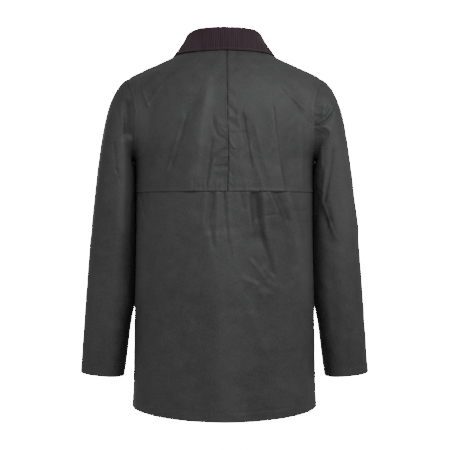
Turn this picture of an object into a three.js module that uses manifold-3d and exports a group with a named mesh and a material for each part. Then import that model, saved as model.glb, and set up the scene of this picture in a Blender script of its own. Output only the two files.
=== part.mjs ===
// A waxed cotton jacket in the shape that it takes when worn, with no wearer in it.
// Millimetres, +Z up. The wearer faces -Y and their left side is +X.
// The origin is midway between the high points of the shoulders.
import * as THREE from "three";
import { mergeVertices } from "three/addons/utils/BufferGeometryUtils.js";
import Module from "manifold-3d";

// Cloth
const CLOTH = 1.5;
const COLLAR_CLOTH = 2.4;
const SEAM_GAP = 0.3;

// Heights on the body
const SHOULDER_TIP_Z = -59;
const UNDERARM_Z = -235;
const CROSS_SEAM_Z = -305;
const SIDE_HEM_Z = -757;
const HEM_STARTS_TO_DROP_Z = -480;
const HEM_DROP = { back: 21, front: 9 };

// Openings in the body
const ARMHOLE_HALF_DEPTH = 75;
const NECK_DROP = { back: 3, front: 80 };
const NECK_CURVE = { side: 1.4, middle: 2.6 };
const FRONT_EDGE_X = 6.5;
const UNDERARM_STEP = 0.8;

// The body's rings from the neck down: half width, depth behind and before the shoulder line,
// and squareness, where 2 is an ellipse. From the shoulder tip to the underarm the sleeves
// take the place of each ring's sides.
const BODY = [
  { z: 12, side: 54, back: 58, front: 52, square: 2 },
  { z: 0, side: 80, back: 63, front: 56, square: 2 },
  { z: -20, side: 122, back: 76, front: 63, square: 2 },
  { z: -40, side: 166, back: 89, front: 70, square: 2 },
  { z: -59, side: 204, back: 99, front: 78, square: 2 },
  { z: -75, side: 221, back: 106, front: 86, square: 2 },
  { z: -92, side: 231, back: 112, front: 94, square: 2 },
  { z: -120, side: 237, back: 119, front: 107, square: 2 },
  { z: -147, side: 236, back: 124, front: 117, square: 2 },
  { z: -182, side: 223, back: 129, front: 128, square: 2.02 },
  { z: -213, side: 205, back: 132, front: 134, square: 2.06 },
  { z: -235, side: 194, back: 133, front: 136, square: 2.1 },
  { z: -270, side: 190, back: 133, front: 138, square: 2.14 },
  { z: -350, side: 189, back: 130, front: 138, square: 2.18 },
  { z: -450, side: 190, back: 127, front: 137, square: 2.2 },
  { z: -560, side: 192.5, back: 129, front: 137, square: 2.25 },
  { z: -680, side: 194.5, back: 135, front: 140, square: 2.3 },
  { z: -730, side: 195.5, back: 139, front: 143, square: 2.3 },
  { z: -765, side: 197.5, back: 142, front: 145, square: 2.3 },
  { z: -800, side: 199, back: 144, front: 147, square: 2.3 },
];

// The largest folds of the body, each a soft line from one point to another as seen from
// behind or before, with its half width and its height out of the cloth, negative for a trough.
const BACK_FOLDS = [
  { x1: 40, z1: -75, x2: 93, z2: -180, width: 17, height: -2.5 },
  { x1: 93, z1: -180, x2: 116, z2: -240, width: 17, height: -2 },
  { x1: 38, z1: -108, x2: 69, z2: -273, width: 15, height: 2 },
  { x1: -42, z1: -165, x2: -73, z2: -290, width: 13, height: -2.5 },
  { x1: -108, z1: -150, x2: -119, z2: -235, width: 13, height: 2.5 },
  { x1: -127, z1: -96, x2: -170, z2: -137, width: 12, height: 2.5 },
  { x1: -61, z1: -320, x2: -72, z2: -400, width: 12, height: -4 },
  { x1: -72, z1: -400, x2: -94, z2: -480, width: 13, height: -3.5 },
  { x1: -92, z1: -325, x2: -112, z2: -365, width: 11, height: 3 },
  { x1: -121, z1: -333, x2: -147, z2: -456, width: 13, height: -2.5 },
  { x1: 24, z1: -325, x2: 21, z2: -400, width: 12, height: -2 },
];
const FRONT_FOLDS = [
  { x1: 120, z1: -110, x2: 150, z2: -225, width: 14, height: -2.5 },
  { x1: -118, z1: -120, x2: -140, z2: -235, width: 15, height: -2.5 },
  { x1: 95, z1: -330, x2: 70, z2: -470, width: 15, height: -3 },
  { x1: -80, z1: -350, x2: -104, z2: -520, width: 16, height: -2.5 },
  { x1: 128, z1: -400, x2: 142, z2: -560, width: 15, height: 2 },
];

// The sleeve's rings from the armhole to the cuff, each tilted between its outer and its
// inner point, with the ring's middle in depth, its half depth and how far its back hangs
// below that line.
const SLEEVE = [
  { ring: 0, outerX: 204, outerZ: -59, innerX: 194, innerZ: -235, middleY: 0, half: 75, drop: 0 },
  { ring: 1, outerX: 213, outerZ: -64, innerX: 195.4, innerZ: -237.5, middleY: 0, half: 76.5, drop: 0 },
  { ring: 2, outerX: 225, outerZ: -76, innerX: 195.6, innerZ: -240, middleY: 0, half: 78, drop: 0 },
  { ring: 3, outerX: 237, outerZ: -95, innerX: 194.6, innerZ: -243, middleY: -1, half: 79, drop: 0 },
  { ring: 4, outerX: 248, outerZ: -122, innerX: 193.6, innerZ: -247, middleY: -2, half: 80, drop: 0 },
  { ring: 5, outerX: 257, outerZ: -160, innerX: 192.6, innerZ: -254, middleY: -3, half: 80, drop: 0 },
  { ring: 6, outerX: 266, outerZ: -212, innerX: 191.2, innerZ: -268, middleY: -5, half: 79, drop: 0 },
  { ring: 7, outerX: 275, outerZ: -277, innerX: 190.2, innerZ: -300, middleY: -8, half: 76, drop: 0 },
  { ring: 8, outerX: 284, outerZ: -355, innerX: 190.2, innerZ: -367, middleY: -14, half: 71, drop: 0.5 },
  { ring: 9, outerX: 292.5, outerZ: -438, innerX: 191, innerZ: -446, middleY: -22, half: 65, drop: 1 },
  { ring: 10, outerX: 299, outerZ: -512, innerX: 193.2, innerZ: -520, middleY: -29, half: 60, drop: 2 },
  { ring: 11, outerX: 304.5, outerZ: -581, innerX: 205, innerZ: -590, middleY: -36, half: 56, drop: 3 },
  { ring: 12, outerX: 309.6, outerZ: -647, innerX: 213.5, innerZ: -657, middleY: -41, half: 52, drop: 3.5 },
  { ring: 13, outerX: 313, outerZ: -691, innerX: 220, innerZ: -700, middleY: -45, half: 49.5, drop: 4 },
];
const LAST_RING = 13;
const CLOSE_RINGS = 6;
const HEAD_RINGS = 3;

// The collar by degrees round the neck from the centre back, with the place of the fall's
// edge in degrees round the body and in height, and how far that edge stands off the body.
const COLLAR = [
  { round: 0, edgeRound: 0, stand: 43, edgeZ: -6, clear: 4 },
  { round: 45, edgeRound: 45, stand: 39.5, edgeZ: -8, clear: 3.6 },
  { round: 90, edgeRound: 90, stand: 33.5, edgeZ: -10, clear: 1.6 },
  { round: 130, edgeRound: 126, stand: 33, edgeZ: -36, clear: 3.6 },
  { round: 158, edgeRound: 148, stand: 31, edgeZ: -82, clear: 4 },
  { round: 179, edgeRound: 166, stand: 29, edgeZ: -122, clear: 5 },
];
const STAND_LEAN = 5;
const FOLD_RADIUS = 4.5;
const FALL_ROLL = 0.35;

// Front zip
const ZIP_TEETH_X = 3;
const ZIP_TAPE_X = 17;
const ZIP_TAPE_THICK = 1;
const ZIP_TEETH_SUNK = 0.4;
const ZIP_HEM_MARGIN = 6;
const ZIP_NECK_MARGIN = 3;
const SLIDER = { z: -104, width: 9, length: 12, thick: 2.4 };
const BAIL = { width: 3.6, length: 7.4, height: 4.6, bar: 1.2 };
const PULL = { width: 8, length: 26, thick: 1.3, eyeWidth: 4.8, eyeLength: 6.2, strip: 1.5 };

// Colours
const WAXED_COTTON = { color: 0x3a3d39, roughness: 0.62, metalness: 0 };
const CORDUROY = { color: 0x33262a, roughness: 0.95, metalness: 0 };
const ZIP_TAPE = { color: 0x26211f, roughness: 0.9, metalness: 0 };
const BRASS = { color: 0x8f7444, roughness: 0.35, metalness: 1 };

const radians = THREE.MathUtils.degToRad;
const { lerp, smoothstep } = THREE.MathUtils;

// Reads a table smoothly between its rows, by cubics that never overshoot them.
function reader(table, key) {
  const rows = [...table].sort((a, b) => a[key] - b[key]);
  const columns = {};
  for (const name of Object.keys(rows[0])) {
    const steps = rows.slice(1).map((row, i) => (row[name] - rows[i][name]) / (row[key] - rows[i][key]));
    columns[name] = rows.map((row, i) => {
      const before = steps[i - 1] ?? steps[i];
      const after = steps[i] ?? steps[i - 1];
      return before * after <= 0 ? 0 : (2 * before * after) / (before + after);
    });
  }
  return (name, at) => {
    const value = THREE.MathUtils.clamp(at, rows[0][key], rows[rows.length - 1][key]);
    let i = 0;
    while (i < rows.length - 2 && value > rows[i + 1][key]) i += 1;
    const span = rows[i + 1][key] - rows[i][key];
    const t = (value - rows[i][key]) / span;
    const rise = (3 - 2 * t) * t * t;
    const leave = columns[name][i] * (1 - t) * (1 - t) * t;
    const arrive = columns[name][i + 1] * (t - 1) * t * t;
    return lerp(rows[i][name], rows[i + 1][name], rise) + span * (leave + arrive);
  };
}

const body = reader(BODY, "z");
const sleeveTable = reader(SLEEVE, "ring");
const collarTable = reader(COLLAR, "round");

// How far a list of folds lifts the cloth at a place seen from behind or before.
function foldHeight(folds, x, z) {
  let height = 0;
  for (const fold of folds) {
    const along = { x: fold.x2 - fold.x1, z: fold.z2 - fold.z1 };
    const length = Math.hypot(along.x, along.z);
    const run = ((x - fold.x1) * along.x + (z - fold.z1) * along.z) / length;
    const off = ((x - fold.x1) * along.z - (z - fold.z1) * along.x) / length;
    const past = Math.max(0, -run, run - length);
    height += fold.height * Math.exp(-((off / fold.width) ** 2) - (past / (2 * fold.width)) ** 2);
  }
  return height;
}

// The body's outer surface at a ring angle in radians, 0 at the wearer's left side and a
// quarter turn at the centre back, and at a height.
function bodyPoint(angle, z) {
  const across = body("side", z) * Math.cos(angle);
  const deep = body(Math.sin(angle) > 0 ? "back" : "front", z) * Math.sin(angle);
  const turn = Math.atan2(deep, across);
  const square = body("square", z);
  const side = Math.abs(Math.cos(turn) / body("side", z)) ** square;
  const depth = Math.abs(Math.sin(turn) / body(Math.sin(turn) > 0 ? "back" : "front", z)) ** square;
  const radius = (side + depth) ** (-1 / square);
  const folds = Math.sin(turn) > 0 ? BACK_FOLDS : FRONT_FOLDS;
  const facing = smoothstep(Math.abs(Math.sin(turn)), 0.15, 0.5);
  const lift = facing * foldHeight(folds, radius * Math.cos(turn), z);
  return new THREE.Vector3((radius + lift) * Math.cos(turn), (radius + lift) * Math.sin(turn), z);
}

// The direction out of a surface given by two parameters.
function outward(surface, u, v, du, dv, sign = 1) {
  const alongU = surface(u + du, v).sub(surface(u - du, v));
  const alongV = surface(u, v + dv).sub(surface(u, v - dv));
  return alongU.cross(alongV).normalize().multiplyScalar(sign);
}

function bodyNormal(angle, z) {
  return outward(bodyPoint, angle, z, 0.004, 0.5);
}

// A closed wall from a grid of places, each with a point on either face of the cloth.
// A tube joins its last column to its first.
function wall(columns, rows, place, tube = false) {
  const points = [];
  for (let row = 0; row <= rows; row += 1) {
    for (let column = 0; column <= columns; column += 1) {
      const { outer, inner } = place(tube ? column % columns : column, row);
      points.push(outer, inner);
    }
  }
  const index = (column, row, face) => 2 * (row * (columns + 1) + column) + face;
  const faces = [];
  const quad = (a, b, c, d) => faces.push(a, b, c, a, c, d);
  for (let row = 0; row < rows; row += 1) {
    for (let column = 0; column < columns; column += 1) {
      for (const face of [0, 1]) {
        const corners = [
          index(column, row, face),
          index(column + 1, row, face),
          index(column + 1, row + 1, face),
          index(column, row + 1, face),
        ];
        quad(...(face ? corners.reverse() : corners));
      }
    }
  }
  for (let column = 0; column < columns; column += 1) {
    quad(index(column + 1, 0, 0), index(column, 0, 0), index(column, 0, 1), index(column + 1, 0, 1));
    quad(index(column, rows, 0), index(column + 1, rows, 0), index(column + 1, rows, 1), index(column, rows, 1));
  }
  for (let row = 0; row < rows && !tube; row += 1) {
    quad(index(0, row, 0), index(0, row + 1, 0), index(0, row + 1, 1), index(0, row, 1));
    quad(index(columns, row + 1, 0), index(columns, row, 0), index(columns, row, 1), index(columns, row + 1, 1));
  }
  const geometry = new THREE.BufferGeometry();
  geometry.setAttribute("position", new THREE.Float32BufferAttribute(points.flatMap((p) => p.toArray()), 3));
  geometry.setIndex(volumeOf(points, faces) < 0 ? faces.reverse() : faces);
  return mergeVertices(geometry, 1e-3);
}

function volumeOf(points, faces) {
  let volume = 0;
  const normal = new THREE.Vector3();
  for (let i = 0; i < faces.length; i += 3) {
    const [a, b, c] = [points[faces[i]], points[faces[i + 1]], points[faces[i + 2]]];
    volume += a.dot(normal.crossVectors(b, c));
  }
  return volume;
}

function node(name, geometry, finish) {
  geometry.computeVertexNormals();
  const mesh = new THREE.Mesh(geometry, new THREE.MeshStandardMaterial(finish));
  mesh.name = name;
  return mesh;
}

const SIDES = [
  { name: "left", x: 1 },
  { name: "right", x: -1 },
];
const FACES = {
  back: { y: 1, neck: NECK_DROP.back, hem: HEM_DROP.back, middles: [SEAM_GAP / 2] },
  front: { y: -1, neck: NECK_DROP.front, hem: HEM_DROP.front, middles: [FRONT_EDGE_X, ZIP_TAPE_X] },
};
const PANEL_COLUMNS = 10;

// Armhole: it stands in the side of the body as an ellipse seen from the side.
const ARMHOLE_STEPS = 12;
const ARMHOLE_MIDDLE_Z = (SHOULDER_TIP_Z + UNDERARM_Z) / 2;
const ARMHOLE_HALF_HEIGHT = (SHOULDER_TIP_Z - UNDERARM_Z) / 2;

// The ring angle, 0 to a quarter turn, where a panel of the body ends at a height.
function edgeAngle(face, z) {
  const up = (z - ARMHOLE_MIDDLE_Z) / ARMHOLE_HALF_HEIGHT;
  const reach = Math.abs(up) < 1 ? ARMHOLE_HALF_DEPTH * Math.sqrt(1 - up * up) : 0;
  const depth = body(face, z);
  return Math.asin(Math.max(reach, SEAM_GAP / 2) / depth);
}

// Heights of a panel's rows along its side edge, evenly spaced but for the armhole.
function rowHeights(from, to) {
  const stops = [SIDE_HEM_Z, -700, -640, -590, -540, -500, -460, -425, -390, -360, -332];
  stops.push(CROSS_SEAM_Z, -270, UNDERARM_Z);
  for (let step = 1; step <= ARMHOLE_STEPS; step += 1) {
    const turn = Math.PI * (1 - step / ARMHOLE_STEPS);
    stops.push(ARMHOLE_MIDDLE_Z + ARMHOLE_HALF_HEIGHT * Math.cos(turn));
  }
  stops.push(-45, -30, -15, 0);
  return stops.filter((z) => z >= from - 0.01 && z <= to + 0.01);
}

// The height of a point of a row, which drops towards the middle at the neck and the hem.
function dropped(face, angle, z) {
  const { neck, hem } = FACES[face];
  const edge = edgeAngle(face, z);
  const inFromEdge = Math.cos(((angle - edge) / (Math.PI / 2 - edge)) * (Math.PI / 2));
  const curve = (1 - Math.max(inFromEdge, 0) ** NECK_CURVE.side) ** NECK_CURVE.middle;
  const nearNeck = smoothstep(z, UNDERARM_Z, 0) * neck * curve;
  const nearHem = smoothstep(-z, -HEM_STARTS_TO_DROP_Z, -SIDE_HEM_Z) * hem * Math.sin(angle) ** 1.7;
  return z - nearNeck - nearHem;
}

// The ring angle at a distance from the middle of a face, on the row that starts at a height.
function angleAt(face, x, z) {
  return Math.acos(x / body("side", dropped(face, Math.PI / 2, z)));
}

// The ring angles of a panel's columns on a row: those at stated distances from the middle,
// and the rest evenly spaced up to the panel's side edge.
function columnAngles(face, middles, count, z) {
  const angles = middles.map((x) => angleAt(face, x, z));
  const last = angles[angles.length - 1];
  const edge = edgeAngle(face, z);
  for (let step = 1; step <= count; step += 1) angles.push(lerp(last, edge, step / count));
  return angles;
}

function clothAt(angle, z, side, depth = 0, thick = CLOTH) {
  const turned = side > 0 ? angle : Math.PI - angle;
  const point = bodyPoint(turned, z);
  const normal = bodyNormal(turned, z);
  return {
    outer: point.clone().addScaledVector(normal, -depth),
    inner: point.clone().addScaledVector(normal, -depth - thick),
  };
}

// A panel of one side of the body, from the middle seam or front edge to the side seam,
// armhole and shoulder seam.
function panel(face, side, from, to) {
  const heights = rowHeights(from, to);
  const { middles } = FACES[face];
  const columns = middles.length - 1 + PANEL_COLUMNS;
  return wall(columns, heights.length - 1, (column, row) => {
    const seam = from === CROSS_SEAM_Z && row === 0 ? SEAM_GAP / 2 : 0;
    const z = heights[row] + seam;
    const angle = columnAngles(face, middles, PANEL_COLUMNS, z)[column];
    return clothAt(FACES[face].y * angle, dropped(face, angle, z), side);
  });
}

// The lower back, one piece from side seam to side seam.
function lowerBack(columns) {
  const heights = rowHeights(SIDE_HEM_Z, CROSS_SEAM_Z);
  return wall(columns, heights.length - 1, (column, row) => {
    const z = heights[row] - (heights[row] === CROSS_SEAM_Z ? SEAM_GAP / 2 : 0);
    const across = 1 - (2 * column) / columns;
    const angle = lerp(Math.PI / 2, edgeAngle("back", z), Math.abs(across));
    return clothAt(angle, dropped("back", angle, z), across < 0 ? -1 : 1);
  });
}

// The armhole of one side, mirrored to the left. The turn is 0 at the shoulder tip, a
// quarter turn at the back and a half turn at the underarm. It comes with the direction
// along the body away from its panels, and the point where the sleeve's edge starts, which
// stands over the body's edge under the arm.
function armhole(turn, side) {
  const place = (t) => {
    const z = ARMHOLE_MIDDLE_Z + ARMHOLE_HALF_HEIGHT * Math.cos(t);
    const deep = ARMHOLE_HALF_DEPTH * Math.sin(t);
    return { z, angle: Math.asin(deep / body(deep > 0 ? "back" : "front", z)) };
  };
  const mirror = new THREE.Vector3(side, 1, 1);
  const surface = (angle, z) => bodyPoint(side > 0 ? angle : Math.PI - angle, z).multiply(mirror);
  const at = (t) => surface(place(t).angle, place(t).z);
  const along = at(turn + 0.01).sub(at(turn - 0.01));
  const { angle, z } = place(turn);
  const normal = outward(surface, angle, z, 0.004, 0.5);
  const away = along.cross(normal).normalize();
  const middle = new THREE.Vector3(body("side", ARMHOLE_MIDDLE_Z), 0, ARMHOLE_MIDDLE_Z);
  const start = at(turn);
  if (away.dot(start.clone().sub(middle)) > 0) away.negate();
  start.addScaledVector(away, SEAM_GAP);
  start.addScaledVector(normal, UNDERARM_STEP * (0.5 - 0.5 * Math.cos(turn)));
  return { start, away };
}

function sleevePlanar(turn, ring) {
  const read = (name) => sleeveTable(name, ring);
  const outer = new THREE.Vector2(read("outerX"), read("outerZ"));
  const inner = new THREE.Vector2(read("innerX"), read("innerZ"));
  const middle = outer.clone().add(inner).multiplyScalar(0.5);
  const reach = outer.clone().sub(inner).multiplyScalar(0.5 * Math.cos(turn));
  const y = read("middleY") + read("half") * Math.sin(turn);
  return new THREE.Vector3(middle.x + reach.x, y, middle.y + reach.y - read("drop") * Math.sin(turn));
}

// A sleeve's outer surface, mirrored to the left. Its head starts on the armhole and eases
// into the rings.
function sleevePoint(turn, ring, side) {
  const point = sleevePlanar(turn, ring);
  if (ring >= HEAD_RINGS) return point;
  const offset = armhole(turn, side).start.sub(sleevePlanar(turn, 0));
  return point.addScaledVector(offset, (1 - Math.max(ring, 0) / HEAD_RINGS) ** 3);
}

function sleeve(side) {
  const rings = [];
  for (let ring = 0; ring < CLOSE_RINGS; ring += 1) rings.push(ring);
  for (let ring = CLOSE_RINGS; ring <= LAST_RING; ring += 0.5) rings.push(ring);
  const mirror = new THREE.Vector3(side, 1, 1);
  const surface = (turn, ring) => sleevePoint(turn, ring, side);
  return wall(2 * ARMHOLE_STEPS, rings.length - 1, (column, row) => {
    const turn = (Math.PI * column) / ARMHOLE_STEPS;
    const outer = surface(turn, rings[row]);
    const normal = outward(surface, turn, Math.max(rings[row], 0.02), 0.01, 0.02, -1);
    const inward = normal.multiplyScalar(-CLOTH);
    if (row === 0) {
      const { away } = armhole(turn, side);
      inward.addScaledVector(away, Math.max(0, -inward.dot(away)));
    }
    const inner = outer.clone().add(inward);
    return { outer: outer.multiply(mirror), inner: inner.multiply(mirror) };
  }, true);
}

// The middle of the collar's cloth. Across it runs the stand from the neck seam up to the
// fold, round the fold, and down the fall to its edge.
const COLLAR_ROWS = { stand: 2, bend: 4, fall: 4 };
function neckline(round) {
  const angle = radians(90 - Math.abs(round));
  const seam = bodyPoint(angle, dropped(angle > 0 ? "back" : "front", Math.abs(angle), 0));
  return seam.setX(round < 0 ? -seam.x : seam.x);
}

function collarPoint(round, across) {
  const side = round < 0 ? -1 : 1;
  const read = (name) => collarTable(name, Math.abs(round));
  const seam = neckline(Math.abs(round));
  const edgeRound = radians(90 - read("edgeRound"));
  const edge = clothAt(edgeRound, read("edgeZ"), 1, -read("clear") - COLLAR_CLOTH / 2).outer;
  const up = new THREE.Vector3(0, 0, 1);
  const out = up.clone().cross(neckline(Math.abs(round) + 1).sub(neckline(Math.abs(round) - 1))).normalize();
  seam.addScaledVector(out, -COLLAR_CLOTH / 2).addScaledVector(up, SEAM_GAP);
  const fold = seam.clone().addScaledVector(out, FOLD_RADIUS - STAND_LEAN);
  fold.addScaledVector(up, read("stand") - FOLD_RADIUS - COLLAR_CLOTH / 2);
  const { stand, bend } = COLLAR_ROWS;
  let point;
  if (across <= stand) {
    const top = fold.clone().addScaledVector(out, -FOLD_RADIUS);
    point = seam.lerp(top, across / stand);
  } else if (across <= stand + bend) {
    const turn = (Math.PI * (across - stand)) / bend;
    point = fold.addScaledVector(out, -FOLD_RADIUS * Math.cos(turn)).addScaledVector(up, FOLD_RADIUS * Math.sin(turn));
  } else {
    const down = (across - stand - bend) / COLLAR_ROWS.fall;
    const start = fold.addScaledVector(out, FOLD_RADIUS);
    const bulge = start.clone().addScaledVector(up, -FALL_ROLL * start.distanceTo(edge));
    point = start.lerp(bulge, down).lerp(bulge.lerp(edge, down), down);
  }
  return point.setX(point.x * side);
}

// The collar's columns stand on the panels' own, so its seam follows the neckline.
function collar() {
  const degrees = THREE.MathUtils.radToDeg;
  const back = columnAngles("back", FACES.back.middles, PANEL_COLUMNS, 0).map((a) => 90 - degrees(a));
  const front = columnAngles("front", FACES.front.middles, PANEL_COLUMNS, 0).map((a) => 90 + degrees(a));
  const half = [...back.slice(1, -1), 90, ...front.reverse().slice(1)];
  const rounds = [...half.map((round) => -round).reverse(), 0, ...half];
  const rows = COLLAR_ROWS.stand + COLLAR_ROWS.bend + COLLAR_ROWS.fall;
  return wall(rounds.length - 1, rows, (column, row) => {
    const middle = collarPoint(rounds[column], row);
    const normal = outward(collarPoint, rounds[column], row, 0.5, 0.02);
    return {
      outer: middle.clone().addScaledVector(normal, COLLAR_CLOTH / 2),
      inner: middle.clone().addScaledVector(normal, -COLLAR_CLOTH / 2),
    };
  });
}

// Half of the closed zip: its tape lies behind the front's edge, and its teeth stand
// between the two fronts.
function zipHalf(side) {
  const heights = rowHeights(SIDE_HEM_Z, 0);
  const across = [SEAM_GAP / 2, ZIP_TEETH_X, ZIP_TEETH_X + 0.5, FRONT_EDGE_X, ZIP_TAPE_X];
  return wall(across.length - 1, heights.length - 1, (column, row) => {
    const margin = { 0: ZIP_HEM_MARGIN, [heights.length - 1]: -ZIP_NECK_MARGIN }[row] ?? 0;
    const z = heights[row] + margin;
    const angle = angleAt("front", across[column], z);
    const behind = CLOTH + SEAM_GAP;
    const depth = column < 2 ? ZIP_TEETH_SUNK : behind;
    return clothAt(-angle, dropped("front", angle, z), side, depth, behind + ZIP_TAPE_THICK - depth);
  });
}

// A box or plate between two corners.
function block(from, to) {
  const size = new THREE.Vector3().subVectors(to, from);
  const geometry = new THREE.BoxGeometry(size.x, size.y, size.z);
  return geometry.translate(from.x + size.x / 2, from.y + size.y / 2, from.z + size.z / 2);
}

// Joins closed geometries into one.
async function joined(geometries) {
  const wasm = await Module();
  wasm.setup();
  const solids = geometries.map((geometry) => {
    const bare = new THREE.BufferGeometry();
    bare.setAttribute("position", geometry.getAttribute("position"));
    bare.setIndex(geometry.getIndex());
    const merged = mergeVertices(bare, 1e-4);
    return new wasm.Manifold(
      new wasm.Mesh({
        numProp: 3,
        vertProperties: new Float32Array(merged.getAttribute("position").array),
        triVerts: new Uint32Array(merged.getIndex().array),
      }),
    );
  });
  const whole = solids.reduce((sum, solid) => sum.add(solid)).getMesh();
  const result = new THREE.BufferGeometry();
  result.setAttribute("position", new THREE.BufferAttribute(whole.vertProperties, 3));
  result.setIndex([...whole.triVerts]);
  return result;
}

// The zip's slider in its own frame: X across, Z up along the zip, and its face towards -Y.
// The bail stands on its face, and the pull's strip turns in the middle of the bail.
const BAIL_HOLE_HEIGHT = BAIL.height - BAIL.bar;
const PULL_AXIS_Y = -SLIDER.thick - BAIL_HOLE_HEIGHT / 2;
const PULL_AXIS_Z = -BAIL.length / 2 + BAIL.bar + PULL.strip;

async function slider() {
  const halfWidth = SLIDER.width / 2;
  const halfLength = SLIDER.length / 2;
  const plate = block(
    new THREE.Vector3(-halfWidth, -SLIDER.thick, -halfLength),
    new THREE.Vector3(halfWidth, 0, halfLength),
  );
  const half = BAIL.width / 2;
  const [top, hole] = [-SLIDER.thick - BAIL.height, -SLIDER.thick - BAIL_HOLE_HEIGHT];
  const end = BAIL.length / 2;
  const sunk = -SLIDER.thick + 0.5;
  const legs = [-end, end - BAIL.bar].map((z) =>
    block(new THREE.Vector3(-half, top, z), new THREE.Vector3(half, sunk, z + BAIL.bar)),
  );
  const bar = block(new THREE.Vector3(-half, top, -end), new THREE.Vector3(half, hole, end));
  return joined([plate, ...legs, bar]);
}

// The pull tab hangs from its axis along -Z, with an eye round the bail.
function pull() {
  const half = PULL.width / 2;
  const top = PULL.strip / 2;
  const bottom = top - PULL.length;
  const round = 2;
  const outline = new THREE.Shape();
  outline.moveTo(-half + 1, top);
  outline.lineTo(half - 1, top);
  outline.lineTo(half, top - 1);
  outline.lineTo(half - 0.8, bottom + round);
  outline.quadraticCurveTo(half - 0.8, bottom, half - 0.8 - round, bottom);
  outline.lineTo(-half + 0.8 + round, bottom);
  outline.quadraticCurveTo(-half + 0.8, bottom, -half + 0.8, bottom + round);
  outline.lineTo(-half, top - 1);
  outline.closePath();
  const eye = new THREE.Path();
  const eyeHalf = PULL.eyeWidth / 2;
  const eyeTop = -PULL.strip / 2;
  eye.moveTo(-eyeHalf, eyeTop);
  eye.lineTo(-eyeHalf, eyeTop - PULL.eyeLength);
  eye.lineTo(eyeHalf, eyeTop - PULL.eyeLength);
  eye.lineTo(eyeHalf, eyeTop);
  eye.closePath();
  outline.holes.push(eye);
  const geometry = new THREE.ExtrudeGeometry(outline, { depth: PULL.thick, bevelEnabled: false, curveSegments: 4 });
  return geometry.translate(0, 0, -PULL.thick / 2).rotateX(Math.PI / 2);
}

// The whole jacket
const jacket = new THREE.Group();
for (const side of SIDES) {
  const upperBack = panel("back", side.x, CROSS_SEAM_Z, 0);
  jacket.add(node(`back_upper_${side.name}`, upperBack, WAXED_COTTON));
}
jacket.add(node("back_lower", lowerBack(22), WAXED_COTTON));
for (const side of SIDES) {
  const front = panel("front", side.x, SIDE_HEM_Z, 0);
  jacket.add(node(`front_${side.name}`, front, WAXED_COTTON));
}
for (const side of SIDES) {
  jacket.add(node(`sleeve_${side.name}`, sleeve(side.x), WAXED_COTTON));
}
jacket.add(node("collar", collar(), CORDUROY));
for (const side of SIDES) {
  jacket.add(node(`zip_${side.name}`, zipHalf(side.x), ZIP_TAPE));
}

// The slider lies on the teeth and follows the slope of the chest.
const slope = bodyNormal(-Math.PI / 2, SLIDER.z);
const zipHead = new THREE.Group();
const seat = SEAM_GAP - ZIP_TEETH_SUNK;
zipHead.position.copy(bodyPoint(-Math.PI / 2, SLIDER.z).addScaledVector(slope, seat));
zipHead.rotation.x = Math.atan2(-slope.z, -slope.y);
zipHead.add(node("zip_slider", await slider(), BRASS));
const tab = node("zip_pull", pull(), BRASS);
tab.position.set(0, PULL_AXIS_Y, PULL_AXIS_Z);
zipHead.add(tab);
jacket.add(zipHead);

export default jacket;
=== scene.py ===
import math

import bpy
import numpy as np
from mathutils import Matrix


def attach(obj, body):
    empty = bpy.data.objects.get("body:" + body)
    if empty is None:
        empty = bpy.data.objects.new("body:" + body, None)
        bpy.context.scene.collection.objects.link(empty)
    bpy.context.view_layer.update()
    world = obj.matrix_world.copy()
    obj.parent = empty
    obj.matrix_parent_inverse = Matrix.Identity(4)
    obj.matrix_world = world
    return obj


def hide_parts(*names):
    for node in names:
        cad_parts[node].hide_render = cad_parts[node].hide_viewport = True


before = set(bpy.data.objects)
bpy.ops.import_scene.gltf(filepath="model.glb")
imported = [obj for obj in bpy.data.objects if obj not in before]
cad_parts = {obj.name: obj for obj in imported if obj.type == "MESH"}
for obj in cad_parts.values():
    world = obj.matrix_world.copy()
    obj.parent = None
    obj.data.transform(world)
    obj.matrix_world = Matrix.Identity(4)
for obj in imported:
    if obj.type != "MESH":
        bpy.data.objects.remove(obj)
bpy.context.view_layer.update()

# View and studio
# The camera stands level behind the jacket, 2.8 m from its middle, as the photo's did.
# Soft lights stand behind the jacket, the strongest at its right, and one stands before it.
# A pale floor lies below.
CAMERA = {"place": (-0.0013, 2.8, -0.374), "lens": 104.2, "sensor": 36}
# Each light: its name, place, target, size and power
LIGHTS = [
    ("key_light", (-0.95, 1.55, 0.85), (-0.05, 0, -0.28), 0.6, 17),
    ("middle_light", (0, 2.0, 1.0), (0, 0, -0.3), 1.0, 5),
    ("left_light", (1.7, 1.5, 0.1), (0, 0, -0.35), 1.0, 3.5),
    ("shoulder_light", (-1.3, 0.8, 0.25), (-0.2, 0, -0.2), 0.6, 2),
    ("front_key_light", (0.9, -2.4, -0.1), (0, 0, -0.4), 1.2, 15),
]
# How bright the white sky is for the cloth, and how bright it looks
SKY = {"for_cloth": 0.4, "in_view": 24.0}
FLOOR_Z = -1.42
FLOOR_REACH = 2
FLOOR_COLOUR = (0.82, 0.82, 0.81, 1)


def new_object(name, data):
    """Puts new data in the scene as an object."""
    made = bpy.data.objects.new(name, data)
    bpy.context.scene.collection.objects.link(made)
    return made


view = bpy.data.cameras.new("view")
view.lens = CAMERA["lens"]
view.sensor_width = CAMERA["sensor"]
camera = new_object("view", view)
camera.location = CAMERA["place"]
camera.rotation_euler = (math.pi / 2, 0, math.pi)
bpy.context.scene.camera = camera


def soft_light(name, place, target, size, power):
    """A square area light that faces its target."""
    lamp = bpy.data.lights.new(name, "AREA")
    lamp.size = size
    lamp.energy = power
    holder = new_object(name, lamp)
    to_target = np.subtract(target, place)
    flat = math.hypot(to_target[0], to_target[1])
    turn = math.atan2(to_target[1], to_target[0]) - math.pi / 2
    holder.location = place
    holder.rotation_euler = (math.pi / 2 + math.atan2(to_target[2], flat), 0, turn)


for light in LIGHTS:
    soft_light(*light)


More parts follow.
